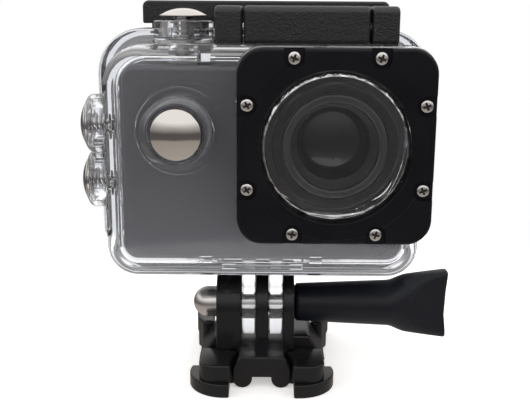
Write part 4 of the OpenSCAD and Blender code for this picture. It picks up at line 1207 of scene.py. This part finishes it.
class CAMERA_OT_buckle(bpy.types.Operator):
    """The quick-release buckle and its two release arms"""

    bl_idname = "camera.buckle"
    bl_label = "Buckle"

    def execute(self, context):
        sizes = context.scene.camera_buckle
        low, high = span("buckle_body")
        nose, tail, left_end = low[1], high[1], low[0]
        y, z = PIVOT[1], PIVOT[2]
        radius = high[2] - z
        floor = z - radius - 1
        half, top = mm(sizes.half), mm(sizes.nose_top)
        wide, shoulder = mm(sizes.deck), mm(sizes.shoulder)
        centre, slot_out, out = PRONG_EDGES
        nut_end = -out - NUT_BOSS_T
        prong = lambda inset: hanging(y, z, radius, radius, floor - 0.1, inset)
        prongs = [
            slab_x(prong, x0, x1, 0.35)
            for x0, x1 in ((-centre, centre), (slot_out, out), (nut_end, -slot_out))
        ]
        profile = [
            (nose, DECK), (nose, floor + 0.1), (-radius, floor + 2.6), (0, floor + 2.6), (0, DECK)
        ]
        corner = [
            (top, floor + 3), (half + 0.5, floor + 3), (half + 0.5, floor - 2.2),
            (half, floor - 2.2), (top, floor + 0.1),
        ]
        snout = block(profile, "x", -half, half)
        wedges = [block(c, "y", nose - PAST, -radius) for c in (corner, mirrored(corner))]
        snout = edged(cut(snout, *wedges), 0.35, angle=20)
        base = [
            (-5.8, DECK - 0.5), (-5.8, floor), (tail, floor), (tail, 0), (-3.2, 0),
            (-3.2, DECK - 0.5),
        ]
        slope = [(-shoulder, 3.2), (-10.6, floor + 2.5), (10.6, floor + 2.5), (shoulder, 3.2)]
        parts = [snout, block(base, "x", -wide, wide, 0.4), block(slope, "y", -5.8, 6.5, 0.7)]
        for x in (-FOOT_X, FOOT_X):
            foot = np.concatenate([
                [[x - FOOT_R, 4.2]], arc((x, FOOT_R), FOOT_R, 180, 360, 16), [[x + FOOT_R, 4.2]]
            ])
            parts.append(block(foot, "y", nose + 0.04, -3, 0.3))
        body = joined(prongs[0], *prongs[1:], *parts)
        tools = []
        for side, x0 in ((-1, -slot_out), (1, centre)):
            hinge = np.array([side * (half + 0.5), ARM_HINGE_Y, 0])
            tools.append(box_rings((x0, -20, floor), (x0 + 3.2, 20, high[2] + 1)))
            tools.append(rod(1.25, -1, high[2], hinge, Z_WAY, 40))
        tools.append(rod(BOLT_R + 0.08, left_end - 1, 8, PIVOT_AXIS, X_WAY))
        tools.append(rod(NUT_R + 0.08, nut_end - 1, -out - 0.1, PIVOT_AXIS, X_WAY, 6))
        look = finish_of("satin_black")
        body = cut(body, *tools)
        placed(body, "buckle", "black_plastic_satin", look, "buckle_body", sharp=30)
        for side, name in ((1, "right"), (-1, "left")):
            arm = self.arm(side, floor, half)
            node = "release_arm_" + name
            placed(arm, name + "_release", "black_plastic_satin", look, node, sharp=30)
        return {"FINISHED"}

    def arm(self, side, floor, half):
        """A release arm from four outlines: crescent flange, head, bar and finger ear."""
        way = (lambda p: p) if side > 0 else mirrored
        front, root, bar_in, bar_out = -18.0, -6.5, 11.6, 14.2
        inner = half + 0.6
        flange = np.concatenate([
            [[inner, front + 0.06]], arc((8, front + 8), 8, -88, 17.5, 24),
            [[bar_out, -7.6], [bar_out, root], [inner, root]],
        ])
        head = np.concatenate([
            [[half + 0.35, front + 1.3]], arc((10.3, front + 4.7), 3.4, -90, 0, 14),
            [[13.7, root], [half + 0.35, root]],
        ])
        bar = [(bar_in, front + 8), (bar_out, front + 8), (bar_out, 16), (bar_in, 16)]
        ear = [(bar_in, 7), (bar_out, 7), (16, 10.5), (17.2, 20), (14.1, 20), (12.0, 15)]
        arm = joined(
            block(way(flange), "z", 0, 3, 0.3), block(way(head), "z", 2.8, floor - 0.2, 0.45),
            block(way(bar), "z", 0, 3, 0.3), block(way(ear), "z", 0, 7.8, 0.7),
            rod(1.2, 0, floor - 0.2, np.array([side * (half + 0.5), ARM_HINGE_Y, 0]), Z_WAY, 40),
        )
        arm = cut(arm, rod(13.4, -1, 9, np.array([side * 28.6, 13.5, 0]), Z_WAY, 128))
        arm.name = arm.data.name = "release_arm_look"
        return arm


INNER_FINISHES = {
    "display_panel": "display_black",
    "lens_baffle": "lens_black",
    "lens_rear_element": "lens_glass",
    "image_sensor": "sensor",
    "main_board": "board_green",
    "battery": "battery_wrap",
    "speaker": "speaker_black",
    "memory_card": "camera_black",
    "button_switches": "port_steel",
}


class CAMERA_OT_inside(bpy.types.Operator):
    """Finishes of the parts that keep their own shape inside the camera"""

    bl_idname = "camera.inside"
    bl_label = "Inside"

    def execute(self, context):
        for node, look in INNER_FINISHES.items():
            slots = frame["nodes"][node].data.materials
            slots.clear()
            slots.append(finish_of(look))
        return {"FINISHED"}


# Stage


def area_light(name, place, size, power, target):
    """A soft rectangular light at a place, in metres, facing a target."""
    data = bpy.data.lights.new(name, "AREA")
    data.shape, data.size, data.size_y, data.energy = "RECTANGLE", size[0], size[1], power
    lamp = bpy.data.objects.new(name, data)
    bpy.context.collection.objects.link(lamp)
    lamp.location = place
    away = np.array(place) - target
    lamp.rotation_euler = direction_of(away)
    lamp.visible_glossy = False
    return lamp


def direction_of(away):
    """Euler angles that turn local +Z to the given direction."""
    return Vector(away).to_track_quat("Z", "Y").to_euler()


class CAMERA_OT_stage(bpy.types.Operator):
    """Pale floor, soft studio light and the camera"""

    bl_idname = "camera.stage"
    bl_label = "Stage"

    def execute(self, context):
        studio = context.scene.camera_studio
        radius = mm(studio.floor)
        rings = turned([(radius, -2.0), (radius, -0.02)], np.array([0, 0, 0]), (0, 0, 1), 96)
        floor = mesh_of("studio_floor", rings)
        material = solid_finish(
            "floor_pale", (0.86, 0.86, 0.86), 0.75, vary=0.008, grain=60, depth=0.02, relief=0.05
        )
        glow = material.node_tree.nodes["Principled BSDF"]
        glow.inputs["Emission Color"].default_value = (1, 0.985, 0.965, 1)
        glow.inputs["Emission Strength"].default_value = 0.45
        floor.data.materials.append(material)
        floor.visible_glossy = False
        centre = np.array([0, 0, 0.045])
        area_light("left", (-0.62, -0.42, 0.34), (0.35, 0.7), studio.side, centre)
        area_light("right", (0.62, -0.42, 0.34), (0.35, 0.7), studio.side, centre)
        world = bpy.data.worlds.new("studio_world")
        world.use_nodes = True
        tree = world.node_tree
        sky = tree.nodes["Background"]
        sky.inputs["Strength"].default_value = studio.key
        way = tree.nodes.new("ShaderNodeTexCoord")
        height = tree.nodes.new("ShaderNodeSeparateXYZ")
        tree.links.new(way.outputs["Generated"], height.inputs[0])
        share = spread(tree, height.outputs["Z"], 0, 1)
        share.node.inputs["From Min"].default_value = -1
        ramp = tree.nodes.new("ShaderNodeValToRGB")
        stops = (
            (0.0, (0.46, 0.43, 0.40)), (0.385, (0.36, 0.325, 0.29)), (0.425, (0.11, 0.10, 0.095)),
            (0.55, (0.10, 0.093, 0.09)), (0.70, (0.50, 0.485, 0.47)), (0.82, (1.0, 0.985, 0.97)),
        )
        steps = ramp.color_ramp.elements
        for place, _ in stops[1:-1]:
            steps.new(place)
        steps[0].position, steps[len(stops) - 1].position = stops[0][0], stops[-1][0]
        for step, (_, shade) in zip(steps, stops):
            step.color = (*shade, 1)
        tree.links.new(share, ramp.inputs["Fac"])
        tree.links.new(ramp.outputs["Color"], sky.inputs["Color"])
        white = tree.nodes.new("ShaderNodeBackground")
        white.inputs["Color"].default_value = (1, 1, 1, 1)
        seen, mix = tree.nodes.new("ShaderNodeLightPath"), tree.nodes.new("ShaderNodeMixShader")
        bounces, straight = tree.nodes.new("ShaderNodeMath"), tree.nodes.new("ShaderNodeMath")
        tree.links.new(seen.outputs["Glossy Depth"], bounces.inputs[0])
        tree.links.new(seen.outputs["Diffuse Depth"], bounces.inputs[1])
        straight.operation = "LESS_THAN"
        straight.inputs[1].default_value = 0.5
        tree.links.new(bounces.outputs[0], straight.inputs[0])
        tree.links.new(straight.outputs[0], mix.inputs["Fac"])
        tree.links.new(sky.outputs[0], mix.inputs[1])
        tree.links.new(white.outputs[0], mix.inputs[2])
        tree.links.new(mix.outputs[0], tree.nodes["World Output"].inputs["Surface"])
        context.scene.world = world
        context.scene.view_settings.view_transform = "Standard"

        data = bpy.data.cameras.new("view")
        data.lens, data.sensor_width = studio.focal, 36
        camera = bpy.data.objects.new("view", data)
        context.collection.objects.link(camera)
        yaw, pitch, roll = np.radians([-0.23, 13.05, 0.36])
        ahead = np.array([
            math.sin(yaw) * math.cos(pitch), math.cos(yaw) * math.cos(pitch), -math.sin(pitch)
        ])
        right = np.array([math.cos(yaw), -math.sin(yaw), 0])
        up = np.cross(right, ahead)
        right, up = (
            math.cos(roll) * right + math.sin(roll) * up,
            math.cos(roll) * up - math.sin(roll) * right,
        )
        turn = np.eye(4)
        turn[:3, 0], turn[:3, 1], turn[:3, 2] = right, up, -ahead
        turn[:3, 3] = np.array([1.169, -178.56, 81.015]) * MM
        camera.matrix_world = Matrix(turn.tolist())
        data.clip_start, data.clip_end = 0.005, 10
        context.scene.camera = camera
        return {"FINISHED"}


class CAMERA_PT_pieces(bpy.types.Panel):
    """Lists the sizes, the finishes and the pieces."""

    bl_label = "Cased camera"
    bl_idname = "CAMERA_PT_pieces"
    bl_space_type = "VIEW_3D"
    bl_region_type = "UI"
    bl_category = "Camera"

    def draw(self, context):
        for name, group in GROUPS.items():
            box = self.layout.box()
            for field in group.__annotations__:
                box.prop(getattr(context.scene, name), field)
        for operator in OPERATORS:
            self.layout.operator(operator.bl_idname)


GROUPS = {
    "camera_case": CaseSizes,
    "camera_port": PortSizes,
    "camera_buttons": ButtonSizes,
    "camera_buckle": BuckleSizes,
    "camera_finishes": Finishes,
    "camera_studio": StudioSizes,
}
OPERATORS = (
    CAMERA_OT_case, CAMERA_OT_door, CAMERA_OT_port, CAMERA_OT_plungers, CAMERA_OT_body,
    CAMERA_OT_lens, CAMERA_OT_latch, CAMERA_OT_knob, CAMERA_OT_buckle, CAMERA_OT_inside,
    CAMERA_OT_stage,
)


def register():
    """Registers every class and hangs the sizes on the scene."""
    for group in (*GROUPS.values(), *OPERATORS, CAMERA_PT_pieces):
        bpy.utils.register_class(group)
    for name, group in GROUPS.items():
        setattr(bpy.types.Scene, name, PointerProperty(type=group))


def unregister():
    """Takes every class away again."""
    for name in GROUPS:
        delattr(bpy.types.Scene, name)
    for group in reversed((*GROUPS.values(), *OPERATORS, CAMERA_PT_pieces)):
        bpy.utils.unregister_class(group)


def main():
    """Builds every piece in order."""
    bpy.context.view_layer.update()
    register()
    for operator in OPERATORS:
        group, name = operator.bl_idname.split(".")
        getattr(getattr(bpy.ops, group), name)()


if __name__ == "__main__":
    main()
